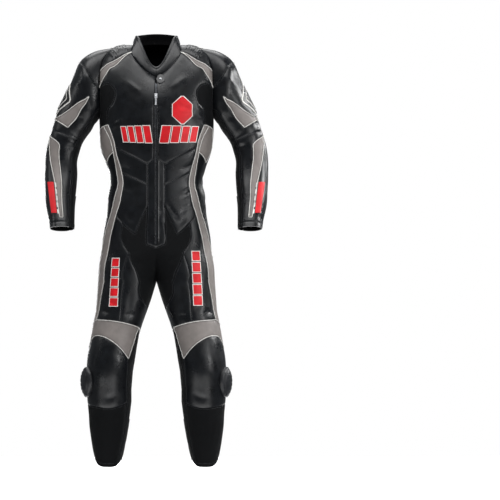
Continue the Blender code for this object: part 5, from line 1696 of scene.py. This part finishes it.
class Look:
    """A procedural material in the making, with its textures in real metres."""

    def __init__(self, name, roughness, metallic=0.0, sheen=0.0, coat=0.0, specular=0.5):
        self.material = bpy.data.materials.new(name)
        self.material.use_nodes = True
        self.nodes = self.material.node_tree.nodes
        self.links = self.material.node_tree.links
        self.shader = self.nodes["Principled BSDF"]
        self.shader.inputs["Roughness"].default_value = roughness
        self.shader.inputs["Metallic"].default_value = metallic
        self.shader.inputs["Sheen Weight"].default_value = sheen
        self.shader.inputs["Coat Weight"].default_value = coat
        self.shader.inputs["Specular IOR Level"].default_value = specular
        self.place = self.nodes.new("ShaderNodeTexCoord").outputs["Object"]
        self.bumps = None
        MATERIALS[name] = self.material

    def stretch(self, scale):
        """Places drawn out along an axis."""
        mapping = self.nodes.new("ShaderNodeMapping")
        mapping.inputs["Scale"].default_value = scale
        self.links.new(self.place, mapping.inputs["Vector"])
        return mapping.outputs["Vector"]

    def noise(self, scale, detail=3.0, roughness=0.55, place=None):
        node = self.nodes.new("ShaderNodeTexNoise")
        node.inputs["Scale"].default_value = scale
        node.inputs["Detail"].default_value = detail
        node.inputs["Roughness"].default_value = roughness
        self.links.new(place or self.place, node.inputs["Vector"])
        return node.outputs["Fac"]

    def cells(self, scale):
        node = self.nodes.new("ShaderNodeTexVoronoi")
        node.inputs["Scale"].default_value = scale
        self.links.new(self.place, node.inputs["Vector"])
        return node.outputs["Distance"]

    def waves(self, scale, direction, distortion=0.0):
        node = self.nodes.new("ShaderNodeTexWave")
        node.bands_direction = direction
        node.inputs["Scale"].default_value = scale
        node.inputs["Distortion"].default_value = distortion
        self.links.new(self.place, node.inputs["Vector"])
        return node.outputs["Fac"]

    def between(self, factor, low, high, start=0.3, end=0.7):
        """A value or colour that goes from low to high with the factor."""
        node = self.nodes.new("ShaderNodeValToRGB")
        first, last = node.color_ramp.elements
        first.position = start
        last.position = end
        first.color = (*low, 1) if isinstance(low, tuple) else (low, low, low, 1)
        last.color = (*high, 1) if isinstance(high, tuple) else (high, high, high, 1)
        self.links.new(factor, node.inputs["Fac"])
        return node.outputs["Color"]

    def colour(self, output):
        self.links.new(output, self.shader.inputs["Base Color"])

    def rough(self, output):
        self.links.new(output, self.shader.inputs["Roughness"])

    def bump(self, height, distance, strength=1.0):
        node = self.nodes.new("ShaderNodeBump")
        node.inputs["Strength"].default_value = strength
        node.inputs["Distance"].default_value = distance
        self.links.new(height, node.inputs["Height"])
        if self.bumps:
            self.links.new(self.bumps, node.inputs["Normal"])
        self.bumps = node.outputs["Normal"]
        self.links.new(self.bumps, self.shader.inputs["Normal"])


def leather_look(name, low, high, roughness, grain, shine=0.3):
    """Grained cowhide: small pebbles, pores, and patches of wear and polish."""
    look = Look(name, roughness, specular=shine)
    look.colour(look.between(look.noise(38, 4), low, high, 0.35, 0.68))
    look.rough(look.between(look.noise(24, 5), roughness - 0.07, roughness + 0.10))
    look.bump(look.noise(26, 4, 0.6), 1.1 * MM, 0.4)
    look.bump(look.cells(620), grain * MM, 0.55)
    look.bump(look.noise(1500, 2), 0.5 * grain * MM, 0.4)
    return look


def stretch_look(name, low, high):
    """Knitted stretch cloth with fine crosswise ribs."""
    look = Look(name, 0.85, specular=0.12)
    # The ribs' troughs are painted darker than their crests: painted shade, from the same waves as
    # the bump.
    look.colour(look.between(look.waves(105, "Z", 0.5), low, high, 0.2, 0.8))
    look.bump(look.waves(105, "Z", 0.5), 0.9 * MM, 0.9)
    look.bump(look.cells(900), 0.3 * MM, 0.5)
    return look


def make_materials():
    """Every look; the floor glows and is seen by the camera alone."""
    leather_look("leather", srgb(5, 6, 8), srgb(13, 15, 18), 0.30, 0.25, 0.31)
    leather_look("grey", srgb(102, 97, 94), srgb(112, 106, 103), 0.50, 0.22)
    leather_look("red", srgb(168, 8, 18), srgb(190, 14, 26), 0.48, 0.16)
    leather_look("white", srgb(196, 195, 191), srgb(212, 211, 208), 0.48, 0.16)
    leather_look("piping", srgb(176, 174, 170), srgb(196, 194, 190), 0.42, 0.10)
    stretch_look("stretch", srgb(3, 4, 5), srgb(9, 10, 12))
    lining = Look("lining", 0.9, specular=0.1)
    # The lining's dimples are painted darker than their rims: painted shade, from the same cells
    # as its bump.
    lining.colour(lining.between(lining.cells(420), srgb(5, 5, 6), srgb(13, 13, 15)))
    lining.bump(lining.cells(420), 0.6 * MM, 0.6)
    metal = Look("metal", 0.32, metallic=1.0)
    metal.colour(metal.between(metal.noise(300, 4), srgb(150, 152, 156), srgb(205, 206, 208)))
    metal.rough(metal.between(metal.noise(700, 3), 0.24, 0.42))
    metal.bump(metal.noise(900, 3), 0.12 * MM, 0.5)
    teeth = Look("teeth", 0.42, metallic=0.9)
    teeth.colour(teeth.between(teeth.noise(500, 3), srgb(60, 62, 66), srgb(104, 106, 110)))
    teeth.bump(teeth.noise(900, 3), 0.1 * MM, 0.5)
    tape = Look("tape", 0.9, sheen=0.1, specular=0.2)
    # The tape's rib troughs are painted darker than their crests: painted shade, from the same
    # waves as its bump.
    tape.colour(tape.between(tape.waves(260, "Z"), srgb(8, 9, 10), srgb(22, 23, 25)))
    tape.bump(tape.waves(260, "Z"), 0.3 * MM, 0.7)
    thread = Look("thread", 0.7, sheen=0.2, specular=0.3)
    thread.colour(thread.between(thread.noise(420, 2), srgb(44, 46, 50), srgb(70, 72, 76)))
    thread.bump(thread.waves(900, "DIAGONAL"), 0.15 * MM, 0.8)
    puck = Look("puck", 0.38, specular=0.3)
    puck.colour(puck.between(puck.noise(60, 4), srgb(16, 17, 19), srgb(30, 31, 34)))
    puck.rough(puck.between(puck.noise(45, 5), 0.28, 0.55))
    puck.bump(puck.noise(420, 4), 0.25 * MM, 0.6)
    scratches = puck.noise(240, 3, 0.6, puck.stretch((1.0, 1.0, 0.08)))
    puck.bump(scratches, 0.15 * MM, 0.5)
    floor = Look("floor", 0.9, specular=0.1)
    floor.colour(floor.between(floor.noise(3, 2), srgb(247, 247, 247), srgb(250, 250, 250)))
    floor.shader.inputs["Emission Color"].default_value = (1.0, 1.0, 1.0, 1.0)
    floor.shader.inputs["Emission Strength"].default_value = FLOOR_GLOW
    seen = floor.nodes.new("ShaderNodeLightPath")
    clear = floor.nodes.new("ShaderNodeBsdfTransparent")
    mix = floor.nodes.new("ShaderNodeMixShader")
    out = floor.nodes["Material Output"]
    floor.links.new(seen.outputs["Is Camera Ray"], mix.inputs["Fac"])
    floor.links.new(clear.outputs["BSDF"], mix.inputs[1])
    floor.links.new(floor.shader.outputs["BSDF"], mix.inputs[2])
    floor.links.new(mix.outputs["Shader"], out.inputs["Surface"])


# ---- Things sewn on -------------------------------------------------------

def solid(name, side, parts, material, smooth=False):
    """One mesh from several (points, faces) parts, mirrored for the right side."""
    verts = []
    faces = []
    for points, part in parts if side == "L" else mirrored(parts):
        start = len(verts)
        verts.extend(points)
        faces.extend(shifted(part, start))
    return make_mesh(name, verts, faces, material, smooth=smooth)


def mirrored(parts):
    """The same parts for the other side of the suit."""
    return [(mirror(np.array(points)), turned(faces)) for points, faces in parts]


def even_run(line, surface, step):
    """The same run of (u, v), with a point at every step of its length."""
    places = np.array(line)
    points = surface.point(*places.T)
    along = np.concatenate([[0], np.cumsum(np.linalg.norm(np.diff(points, axis=0), axis=1))])
    count = max(2, int(round(along[-1] / step)) + 1)
    stops = np.linspace(0, along[-1], count)
    return np.interp(stops, along, places[:, 0]), np.interp(stops, along, places[:, 1])


def tube(path, normals, radius):
    """A round cord along a path, its ends drawn in."""
    tangent = unit(np.gradient(path, axis=0))
    across = unit(np.cross(tangent, normals))
    up = np.cross(across, tangent)
    size = np.full(len(path), radius)
    size[0] = size[-1] = radius * CORD_ENDS
    sides = CORD_SIDES
    points = []
    for k in range(sides):
        turn = 2 * math.pi * k / sides
        ring = across * math.cos(turn) + up * math.sin(turn)
        points.append(path + ring * size[:, None])
    points = np.stack(points, axis=1).reshape(-1, 3)
    faces = []
    for i in range(len(path) - 1):
        for k in range(sides):
            n = (k + 1) % sides
            a, b = i * sides, (i + 1) * sides
            faces.append((a + k, a + n, b + n, b + k))
    last = (len(path) - 1) * sides
    faces.append(tuple(range(sides))[::-1])
    faces.append(tuple(last + k for k in range(sides)))
    return points, faces


def seam_piping(surface, line, side, radius):
    """Piping that stands in a seam."""
    u, v = even_run(line, surface, PIPING_STEP)
    path, normals = surface.raised(u, v, side, SEAM_DEPTH + PIPING_SITS)
    return tube(path, normals, radius)


def stitches(surface, line, side, offset, keep_out):
    """A row of stitches beside a seam."""
    u, v = surface.beside(line, offset)
    inside = surface.inside(u, v) & ~keep_out(u % 1.0, v)
    if inside.sum() < 3:
        return [], []
    u, v = even_run(list(zip(u[inside], v[inside])), surface, STITCH_PITCH)
    path, normals = surface.raised(u, v, side, 0.0)
    least = max(STITCH_CLEAR_SHARE * abs(offset), STITCH_CLEAR)
    clear = surface.from_seam(surface.point(u, v)) > least
    tangent = np.gradient(path, axis=0)
    size = np.linalg.norm(tangent, axis=1)
    good = clear & (size < STITCH_STRETCH * STITCH_PITCH)
    path, normals = path[good], normals[good]
    tangent = tangent[good] / np.maximum(size[good][:, None], CLOSE)
    across = np.cross(tangent, normals)
    long = tangent * STITCH_LENGTH / 2
    wide = across * STITCH_WIDE / 2
    high = normals * STITCH_HIGH
    dip = STITCH_DIP * high
    corners = [-long - dip, -wide, high, wide, -STITCH_KEEL * high, long - dip]
    points = np.stack([path + corner for corner in corners], axis=1).reshape(-1, 3)
    faces = [face for k in range(len(path)) for face in shifted(STITCH_FACES, 6 * k)]
    return points, faces


def patch(surface, side, rows, lift, grow=0.0):
    """A thin piece sewn on: its face, then rows of (z, x left, x right) in mm."""
    face = rows[0]
    edges = np.array(rows[1:], float)
    down = np.sign(edges[-1, 0] - edges[0, 0])
    edges[0, 0] -= down * grow
    edges[-1, 0] += down * grow
    edges[:, 1] -= grow
    edges[:, 2] += grow
    grid = []
    for start, end in zip(edges, edges[1:]):
        steps = max(1, int(round(abs(end[0] - start[0]) * MM / PATCH_STEP)))
        for k in range(steps):
            z, first, last = start + (end - start) * k / steps
            grid.append((surface.place(first, z, face), surface.place(last, z, face)))
    z, first, last = edges[-1]
    grid.append((surface.place(first, z, face), surface.place(last, z, face)))
    grid = [(np.array(a), np.array(b)) for a, b in grid]
    width = max(np.linalg.norm(surface.point(*a) - surface.point(*b)) for a, b in grid)
    across = max(2, int(round(width / PATCH_STEP)))
    spots = np.array([a + (b - a) * k / across for a, b in grid for k in range(across + 1)])
    top, _ = surface.raised(spots[:, 0], spots[:, 1], side, lift)
    low, _ = surface.raised(spots[:, 0], spots[:, 1], side, -PATCH_SUNK)
    line = across + 1
    faces = [(i * line + k, (i + 1) * line + k, (i + 1) * line + k + 1, i * line + k + 1)
             for i in range(len(grid) - 1) for k in range(across)]
    a, b, c = top[faces[0][0]], top[faces[0][1]], top[faces[0][2]]
    facing = np.dot(np.cross(b - a, c - a), surface.normal(*spots[0][:, None])[0])
    return closed(top, low, turned(faces) if facing < 0 else faces)


# ---- Creases --------------------------------------------------------------

def add_creases(surface, groups):
    """Puts creases on a surface, each with rows of points along it."""
    for faces, ends, rows in groups:
        for sides, width, depth, *numbers in rows:
            places = face_points(faces, numbers)
            crease = Crease(surface, sides, width, CREASE_GAIN * depth, ends, places)
            surface.creases.append(crease)
            reach = CREASE_ROW * crease.width
            for offset in (0.0, reach, -reach):
                surface.extra_rows.append((crease.run, offset, CREASE_TO_SEAM))


def accordion_ribs():
    """Sewn ribs of stretch leather across the top of each shoulder."""
    rows = []
    for k in range(RIB_COUNT):
        x = RIB_FIRST + RIB_PITCH * k
        drop = RIB_SLOPE * (x - RIB_FIRST)
        rows.append(("LR", RIB_WIDE, RIB_HIGH, x + 4, -24 - drop, x + 2, -8 - drop, x, 2 - drop))
    return (("FFB", RIB_FADE, rows),)


def zip_well(points, u, side):
    """The groove that the zip runs in, between two folded edges that start below the pull."""
    x = np.abs(points[:, 0])
    z = points[:, 2]
    here = (u < 0.5) & (z > ZIP_END - ZIP_PAST_END)
    fade = np.clip((z - ZIP_END) / ZIP_FADE, 0, 1)
    well = -WELL_DEPTH * (1 - np.clip((x - WELL_HALF) / WELL_EDGE, 0, 1))
    below = np.clip((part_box("zip_pull")[0][2] - FOLD_BELOW_PULL - z) / FOLD_FADE, 0, 1)
    fold = FOLD_RISE[side] * below * np.exp(-(((x - FOLD_X[side]) / FOLD_WIDE[side]) ** 2))
    return np.where(here, (well + fold) * fade, 0.0)


# ---- The zip --------------------------------------------------------------

def centre_line(z):
    """Places on the front middle at the given heights."""
    vs = np.linspace(0, CROTCH_V, CENTRE_POINTS)
    heights = body_point(np.zeros(CENTRE_POINTS), vs)[:, 2]
    return np.interp(-z, -heights, vs)


def strip_faces(count):
    """The faces of a four-cornered strip, closed at both ends."""
    faces = [(4 * k + a, 4 * k + b, 4 * k + 4 + b, 4 * k + 4 + a)
             for k in range(count - 1) for a, b in ((0, 1), (1, 2), (2, 3), (3, 0))]
    last = 4 * (count - 1)
    return faces + [(3, 2, 1, 0), (last, last + 1, last + 2, last + 3)]


def add_zip():
    """Two rows of teeth and the tape under them, down the front middle."""
    z = np.arange(ZIP_TOP, ZIP_END, -TOOTH_PITCH)
    v = centre_line(z)
    path, normals = BODY.raised(np.zeros(len(v)), v, "L", 0.0)
    tangent = unit(np.gradient(path, axis=0))
    verts = []
    faces = []
    strip = []
    for spot, ahead, out in zip(path, tangent, normals):
        for hand in (-1, 1):
            centre = spot + ahead * (TOOTH_STAGGER * TOOTH_PITCH * hand)
            start = len(verts)
            for x in sorted(x * hand for x in TOOTH_X):
                for along in (-TOOTH_HALF * TOOTH_PITCH, TOOTH_HALF * TOOTH_PITCH):
                    for up in TOOTH_UP:
                        corner = centre + ahead * along + out * up
                        verts.append((x, corner[1], corner[2]))
            faces += shifted(BOX_FACES, start)
        for x, up in TAPE_CORNERS:
            corner = spot + out * up * MM
            strip.append((x * TAPE_HALF * MM, corner[1], corner[2]))
    make_mesh("zip_teeth", verts, faces, "teeth", smooth=False)
    make_mesh("zip_tape", strip, strip_faces(len(z)), "tape", smooth=False)


def short_zip(name, surface, line, side):
    """A short zip laid over a seam, closed, with its slider at the end."""
    u, v = even_run(line, surface, SHORT_PITCH)
    path, normals = surface.raised(u, v, side, SEAM_DEPTH)
    tangent = unit(np.gradient(path, axis=0))
    across = np.cross(tangent, normals)
    strip = [path + across * wide * SHORT_TAPE_HALF * MM + normals * up * MM
             for wide, up in SHORT_CORNERS]
    tape = (np.stack(strip, axis=1).reshape(-1, 3), strip_faces(len(path)))
    teeth = []
    for spot, ahead, beside, out in zip(path, tangent, across, normals):
        for hand in (-1, 1):
            centre = (spot + ahead * SHORT_TOOTH_ALONG * MM * hand
                      + beside * SHORT_TOOTH_ACROSS * MM * hand)
            teeth.append(block(centre, ahead, beside, out, SHORT_TOOTH))
    at = SHORT_SLIDER_AT
    axes = (tangent[at], across[at], normals[at])
    end = path[at] + normals[at] * SHORT_SLIDER_UP * MM
    tail = end + tangent[at] * SHORT_TAIL_ALONG * MM + normals[at] * SHORT_TAIL_UP * MM
    slider = [block(end, *axes, SHORT_SLIDER), block(tail, *axes, SHORT_TAIL)]
    solid(f"{name}_tape_{side}", side, [tape], "tape")
    solid(f"{name}_teeth_{side}", side, teeth, "teeth")
    solid(f"{name}_slider_{side}", side, slider, "metal")


def block(centre, along, across, up, size):
    """A small brick, narrower at its top."""
    points = []
    for a in (-0.5, 0.5):
        for b in (-0.5, 0.5):
            for c, narrow in ((-0.5, 1.0), (0.5, BLOCK_TOP)):
                points.append(centre + along * a * size[0] * narrow
                              + across * b * size[1] * narrow + up * c * size[2])
    return np.array(points), list(BOX_FACES)


# ---- Collar tab, pucks ----------------------------------------------------

def disc(rings, sides):
    """A round grid: its (across, up) places from the middle out, and its triangles."""
    places = [(0.0, 0.0)]
    for ring in range(1, rings + 1):
        for k in range(sides):
            turn = 2 * math.pi * k / sides
            places.append((ring / rings * math.cos(turn), ring / rings * math.sin(turn)))
    faces = [(0, 1 + k, 1 + (k + 1) % sides) for k in range(sides)]
    for ring in range(1, rings):
        low = 1 + (ring - 1) * sides
        high = low + sides
        for k in range(sides):
            n = (k + 1) % sides
            faces += [(low + k, high + k, high + n), (low + k, high + n, low + n)]
    return np.array(places), faces


def ring_line(reach, place, width):
    """1 on a ring round the middle of a disc, fading to 0 beside it."""
    return np.exp(-(((reach - place) / width) ** 2))


def build_pucks():
    """Knee pucks of cast plastic, with a groove round them and worn ribs across."""
    places, faces = disc(*PUCK_DISC)
    centre_u, centre_v = PUCK_CENTRE
    step = 0.01
    around = body_point(np.array([centre_u - step, centre_u + step]), np.full(2, centre_v))
    per_u = np.linalg.norm(around[1] - around[0]) / (2 * step)
    us = centre_u + places[:, 0] * PUCK_HALF[0] / per_u
    vs = centre_v - places[:, 1] * PUCK_HALF[1]
    base = body_point(us, vs)
    out = body_normal(us, vs)
    reach = np.linalg.norm(places, axis=1)
    rise = PUCK_HEIGHT * (1 - PUCK_FALL * reach**PUCK_ROUND)
    rise = rise - PUCK_GROOVE * ring_line(reach, PUCK_GROOVE_AT, PUCK_GROOVE_WIDE)
    ribs = 0.5 + 0.5 * np.cos(places[:, 1] * math.pi * PUCK_RIBS)
    rise = rise - PUCK_RIB * ribs**4 * np.clip((PUCK_RIB_END - reach) / PUCK_RIB_FADE, 0, 1)
    top = base + out * rise[:, None]
    part = closed(top, base + out * SEAM_GAP, facing_out(top, out, faces))
    for side, (points, faces) in (("L", part), ("R", mirrored([part])[0])):
        piece = make_mesh(f"knee_puck_{side}_shell", points, faces, "puck")
        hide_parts(f"knee_puck_{side}")


def facing_front(top, low, faces):
    """A closed piece whose top points face the front."""
    normals = np.tile((0.0, -1.0, 0.0), (len(top), 1))
    return closed(top, low, facing_out(top, normals, faces))


def build_tab():
    """The collar's closing tab, with rounded edges and its press stud."""
    places, faces = disc(*TAB_DISC)
    centre_x, centre_z = TAB_CENTRE
    solid_tree = BVHTree.FromObject(frame["nodes"]["collar_tab"],
                                    bpy.context.evaluated_depsgraph_get())
    top = []
    for across, up in places:
        square = 1.0 - TAB_SQUARE * (across * up) ** 2
        x = centre_x + TAB_HALF[0] * across * square
        z = centre_z + TAB_HALF[1] * up * square
        start = (centre_x + (x - centre_x) * TAB_INSIDE, -1.0,
                 centre_z + (z - centre_z) * TAB_INSIDE)
        hit = solid_tree.ray_cast(Vector(start), Vector((0, 1, 0)))[0]
        reach = math.hypot(across, up)
        roll = TAB_ROLL * max(0.0, (reach - TAB_ROLL_FROM) / (1 - TAB_ROLL_FROM)) ** 2
        sewn = TAB_SEWN * ring_line(reach, TAB_SEWN_AT, TAB_SEWN_WIDE)
        top.append((x, hit.y + roll + sewn, z))
    top = np.array(top)
    low = top.copy()
    at_edge = np.linalg.norm(places, axis=1) > TAB_EDGE_FROM
    low[:, 1] = low[:, 1] + TAB_THICK - TAB_EDGE_THIN * at_edge
    piece = make_mesh("collar_tab_leather", *facing_front(top, low, faces), "leather")
    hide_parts("collar_tab")
    half_x, half_z = TAB_HALF
    SHEETS["collar_tab_leather"] = (2 * half_x, 2 * half_z, TAB_FILL * half_x * half_z)
    add_stud(top[0])


def add_stud(centre):
    """The press stud of the collar tab."""
    places, faces = disc(*STUD_DISC)
    reach = np.linalg.norm(places, axis=1)
    dome = STUD_DOME * np.sqrt(np.clip(1 - STUD_FLAT * reach**2, 0, 1))
    points = np.stack([centre[0] + STUD_RADIUS * places[:, 0], centre[1] - dome,
                       centre[2] - STUD_DOWN + STUD_RADIUS * places[:, 1]], axis=1)
    back = points.copy()
    back[:, 1] = centre[1] + STUD_SUNK
    make_mesh("tab_stud", *facing_front(points, back, faces), "metal")


def chest_blocks(last_x):
    """Slanted blocks, each narrower than the one before it, from the zip outwards."""
    blocks = []
    count = CHEST_BLOCKS
    width = (last_x - BLOCK_FIRST - BLOCK_GAP * (count - 1)) / count
    top, low = CHEST_BLOCK_Z
    to_top, to_low = CHEST_BLOCK_SLANT
    x = BLOCK_FIRST
    for k in range(count):
        wide = width * (CHEST_BLOCK_WIDE - CHEST_BLOCK_TAPER * k / (count - 1))
        blocks.append(("F", (top - k, x + to_top, x + wide + to_top),
                       (low + k, x - to_low, x + wide - to_low)))
        x = x + wide + BLOCK_GAP
    return blocks


def thigh_blocks(side):
    """A stack of slanted blocks down the thigh."""
    blocks = []
    count = THIGH_BLOCKS
    top, bottom = THIGH_BLOCK_Z[side]
    left, right = THIGH_BLOCK_X[side]
    left_out, right_out, slant = THIGH_BLOCK_SLANT
    high = (top - bottom - BLOCK_GAP * (count - 1)) / count
    for k in range(count):
        z = top - k * (high + BLOCK_GAP)
        f = k / (count - 1)
        a = left + left_out * f
        b = right + right_out * f
        blocks.append(("F", (z, a, b), (z - high, a + slant, b + slant)))
    return blocks


def stacked(face, rows, count, pitch, shift_left, shift_right):
    """Copies of one shape, each lower than the last and moved at its left and right."""
    return [(face, *((z - pitch * k, left - shift_left * k, right - shift_right * k)
                     for z, left, right in rows)) for k in range(count)]


def add_patches():
    """The sewn-on pieces of coloured leather, each red one on a white one."""
    groups = {}
    for side in "LR":
        groups[f"chest_blocks_{side}"] = (side, chest_blocks(CHEST_BLOCK_END[side]))
        groups[f"thigh_blocks_{side}"] = (side, thigh_blocks(side))
        groups[f"back_blocks_{side}"] = (side, stacked("B", BACK_BLOCK, BACK_BLOCKS,
                                                       BACK_BLOCK_PITCH, 0, BACK_BLOCK_TAPER))
    groups["chest_emblem"] = ("L", [EMBLEM])
    for name, (side, shapes) in groups.items():
        white = [patch(BODY, side, rows, EDGE_LIFT, EDGE_SHOWS) for rows in shapes]
        red = [patch(BODY, side, rows, RED_LIFT) for rows in shapes]
        solid(f"{name}_edge", side, white, "white")
        solid(f"{name}_red", side, red, "red")
    shift, pitch = FOREARM_MARK_PITCH
    marks = stacked("F", FOREARM_MARK, FOREARM_MARKS, pitch, shift, shift)
    for side in "LR":
        for name, material, pieces in PADS:
            solid(f"{name}_{side}", side,
                  [patch(SLEEVE, side, rows, lift * MM) for lift, rows in pieces], material)
        if side == "L":
            solid("zip_garage", side, [patch(BODY, side, ZIP_GARAGE, GARAGE_LIFT)], "leather")
        solid(f"back_bar_{side}", side, [patch(BODY, side, BACK_BAR, BAR_LIFT)], "white")
        solid(f"forearm_block_{side}", side,
              [patch(SLEEVE, side, FOREARM_BLOCK, RED_LIFT)], "red")
        solid(f"forearm_marks_{side}", side,
              [patch(SLEEVE, side, rows, MARK_LIFT) for rows in marks], "white")


def rim_row(surface, up):
    """A row of places at one distance from the hem or cuff."""
    return [(u, surface.length - up) for u in np.linspace(0, 1, HEM_ROW_POINTS)]


def declare_sheets():
    """Looks up, for each piece of cloth, the objects sewn on it, and does nothing more with them
    or with its size.
    """
    for name, (width, length, area) in SHEETS.items():
        sewn = [bpy.data.objects[part.format(side)] for cloth, parts in SEWN_ON
                for side in "LR" for part in parts if cloth.format(side) == name]
        list(dict.fromkeys(sewn))


def add_sewing(surface, kind, named, keep_out):
    """Piping in the piped seams, and stitching beside every seam."""
    for side in "LR":
        piping = []
        sewn = []
        for name, line in named.items():
            if name in PIPED[kind]:
                piping.append(seam_piping(surface, line, side, PIPING))
            if name in REAR_PIPED[kind]:
                behind = [place for place in line if place[0] >= 0.5]
                piping.append(seam_piping(surface, behind, side, THIN_PIPING))
            if name == "cap":
                ahead = [place for place in line if place[0] <= 0.5]
                cord = seam_piping(surface, ahead, side, PIPING)
                solid(f"cap_piping_{side}", side, [cord], "leather", smooth=True)
            if kind == "sleeve" and name == "armhole":
                continue
            for offset in (STITCH_OFFSET, -STITCH_OFFSET):
                sewn.append(stitches(surface, line, side, offset, keep_out))
        sewn.append(stitches(surface, rim_row(surface, HEM_STITCHES), side, 0.0, keep_out))
        solid(f"{kind}_piping_{side}", side, piping, "piping", smooth=True)
        solid(f"{kind}_stitches_{side}", side, [part for part in sewn if len(part[0])], "thread")


# ---- Camera and light -----------------------------------------------------

def aim(thing, target):
    """Turns a camera or a lamp to a target."""
    way = Vector(target) - thing.location
    thing.rotation_euler = way.to_track_quat("-Z", "Y").to_euler()


def add_camera():
    """The camera, a little to the wearer's left of the front."""
    data = bpy.data.cameras.new("camera")
    data.lens = CAMERA_LENS
    data.sensor_width = CAMERA_SENSOR
    camera = bpy.data.objects.new("camera", data)
    bpy.context.scene.collection.objects.link(camera)
    azimuth = math.radians(CAMERA_AZIMUTH)
    middle = Vector(SUIT_MIDDLE)
    camera.location = middle + CAMERA_AWAY * Vector((math.sin(azimuth), -math.cos(azimuth), 0))
    right = Vector((math.cos(azimuth), math.sin(azimuth), 0))
    aim(camera, middle + right * CAMERA_TO_RIGHT)
    bpy.context.scene.camera = camera


def add_light(name, place, target, size, power):
    """A soft box, which the camera doesn't see."""
    data = bpy.data.lights.new(name, "AREA")
    data.shape = "RECTANGLE"
    data.size = size[0]
    data.size_y = size[1]
    data.energy = power
    lamp = bpy.data.objects.new(name, data)
    lamp.location = place
    lamp.visible_camera = False
    bpy.context.scene.collection.objects.link(lamp)
    aim(lamp, target)


def add_world():
    """A white world for the camera, and a dim one for light."""
    world = bpy.data.worlds.new("world")
    bpy.context.scene.world = world
    world.use_nodes = True
    nodes = world.node_tree.nodes
    links = world.node_tree.links
    nodes.clear()
    out = nodes.new("ShaderNodeOutputWorld")
    seen = nodes.new("ShaderNodeBackground")
    lit = nodes.new("ShaderNodeBackground")
    mix = nodes.new("ShaderNodeMixShader")
    path = nodes.new("ShaderNodeLightPath")
    seen.inputs["Color"].default_value = (1, 1, 1, 1)
    seen.inputs["Strength"].default_value = 1.0
    lit.inputs["Color"].default_value = WORLD_COLOUR
    lit.inputs["Strength"].default_value = WORLD_LIGHT
    links.new(path.outputs["Is Camera Ray"], mix.inputs["Fac"])
    links.new(lit.outputs["Background"], mix.inputs[1])
    links.new(seen.outputs["Background"], mix.inputs[2])
    links.new(mix.outputs["Shader"], out.inputs["Surface"])


def add_floor():
    """The floor under the suit."""
    bpy.ops.mesh.primitive_plane_add(size=1.0, location=FLOOR_PLACE)
    floor = bpy.context.object
    floor.name = "studio_floor"
    floor.scale = FLOOR_SIZE
    floor.data.materials.append(MATERIALS["floor"])


# ---- The suit -------------------------------------------------------------

bpy.context.scene.view_settings.view_transform = "Standard"
make_materials()
BODY = Surface(body_point, body_normal, BODY_LENGTH, BODY_ROUND, False, zip_well)
SLEEVE = Surface(sleeve_point, sleeve_normal, SLEEVE_LENGTH, SLEEVE_ROUND, True)
zip_heights = np.linspace(ZIP_ROWS_TOP, ZIP_END - ZIP_PAST_END, ZIP_ROW_POINTS)
zip_run = [(0.0, v) for v in centre_line(zip_heights)]
for offset in ZIP_ROWS:
    BODY.extra_rows.append((zip_run, -offset * MM, ROW_GAP))
    BODY.extra_rows.append((zip_run, offset * MM, ROW_GAP))
for surface in (BODY, SLEEVE):
    for down in HEM_ROWS:
        surface.extra_rows.append((rim_row(surface, down * MM), 0.0, ROW_GAP))
add_creases(BODY, BODY_CREASES + accordion_ribs())
add_creases(SLEEVE, SLEEVE_CREASES)
body_seams = build_body()
sleeve_seams = build_sleeves()
build_collar()
build_tab()
build_pucks()
add_sewing(BODY, "body", body_seams, in_armhole)
add_sewing(SLEEVE, "sleeve", sleeve_seams, nowhere)
add_zip()
add_patches()
cuff_q, cuff_from, cuff_to = CUFF_ZIP
cuff_line = [(cuff_q, s * MM) for s in np.linspace(cuff_from, cuff_to, SHORT_ZIP_POINTS)]
ankle_u, ankle_from, ankle_to = ANKLE_ZIP
ankle_line = [(ankle_u, v) for v in np.linspace(BODY_LENGTH - ankle_from, BODY_LENGTH - ankle_to,
                                                SHORT_ZIP_POINTS)]
for side in "LR":
    short_zip("cuff_zip", SLEEVE, cuff_line, side)
    short_zip("ankle_zip", BODY, ankle_line, side)
declare_sheets()
for name in ("zip_slider", "zip_pull"):
    mesh = frame["nodes"][name].data
    mesh.materials.clear()
    mesh.materials.append(MATERIALS["metal"])
add_camera()
add_world()
add_floor()
for name, place, target, size, power in LIGHTS:
    add_light(name, place, target, size, power)
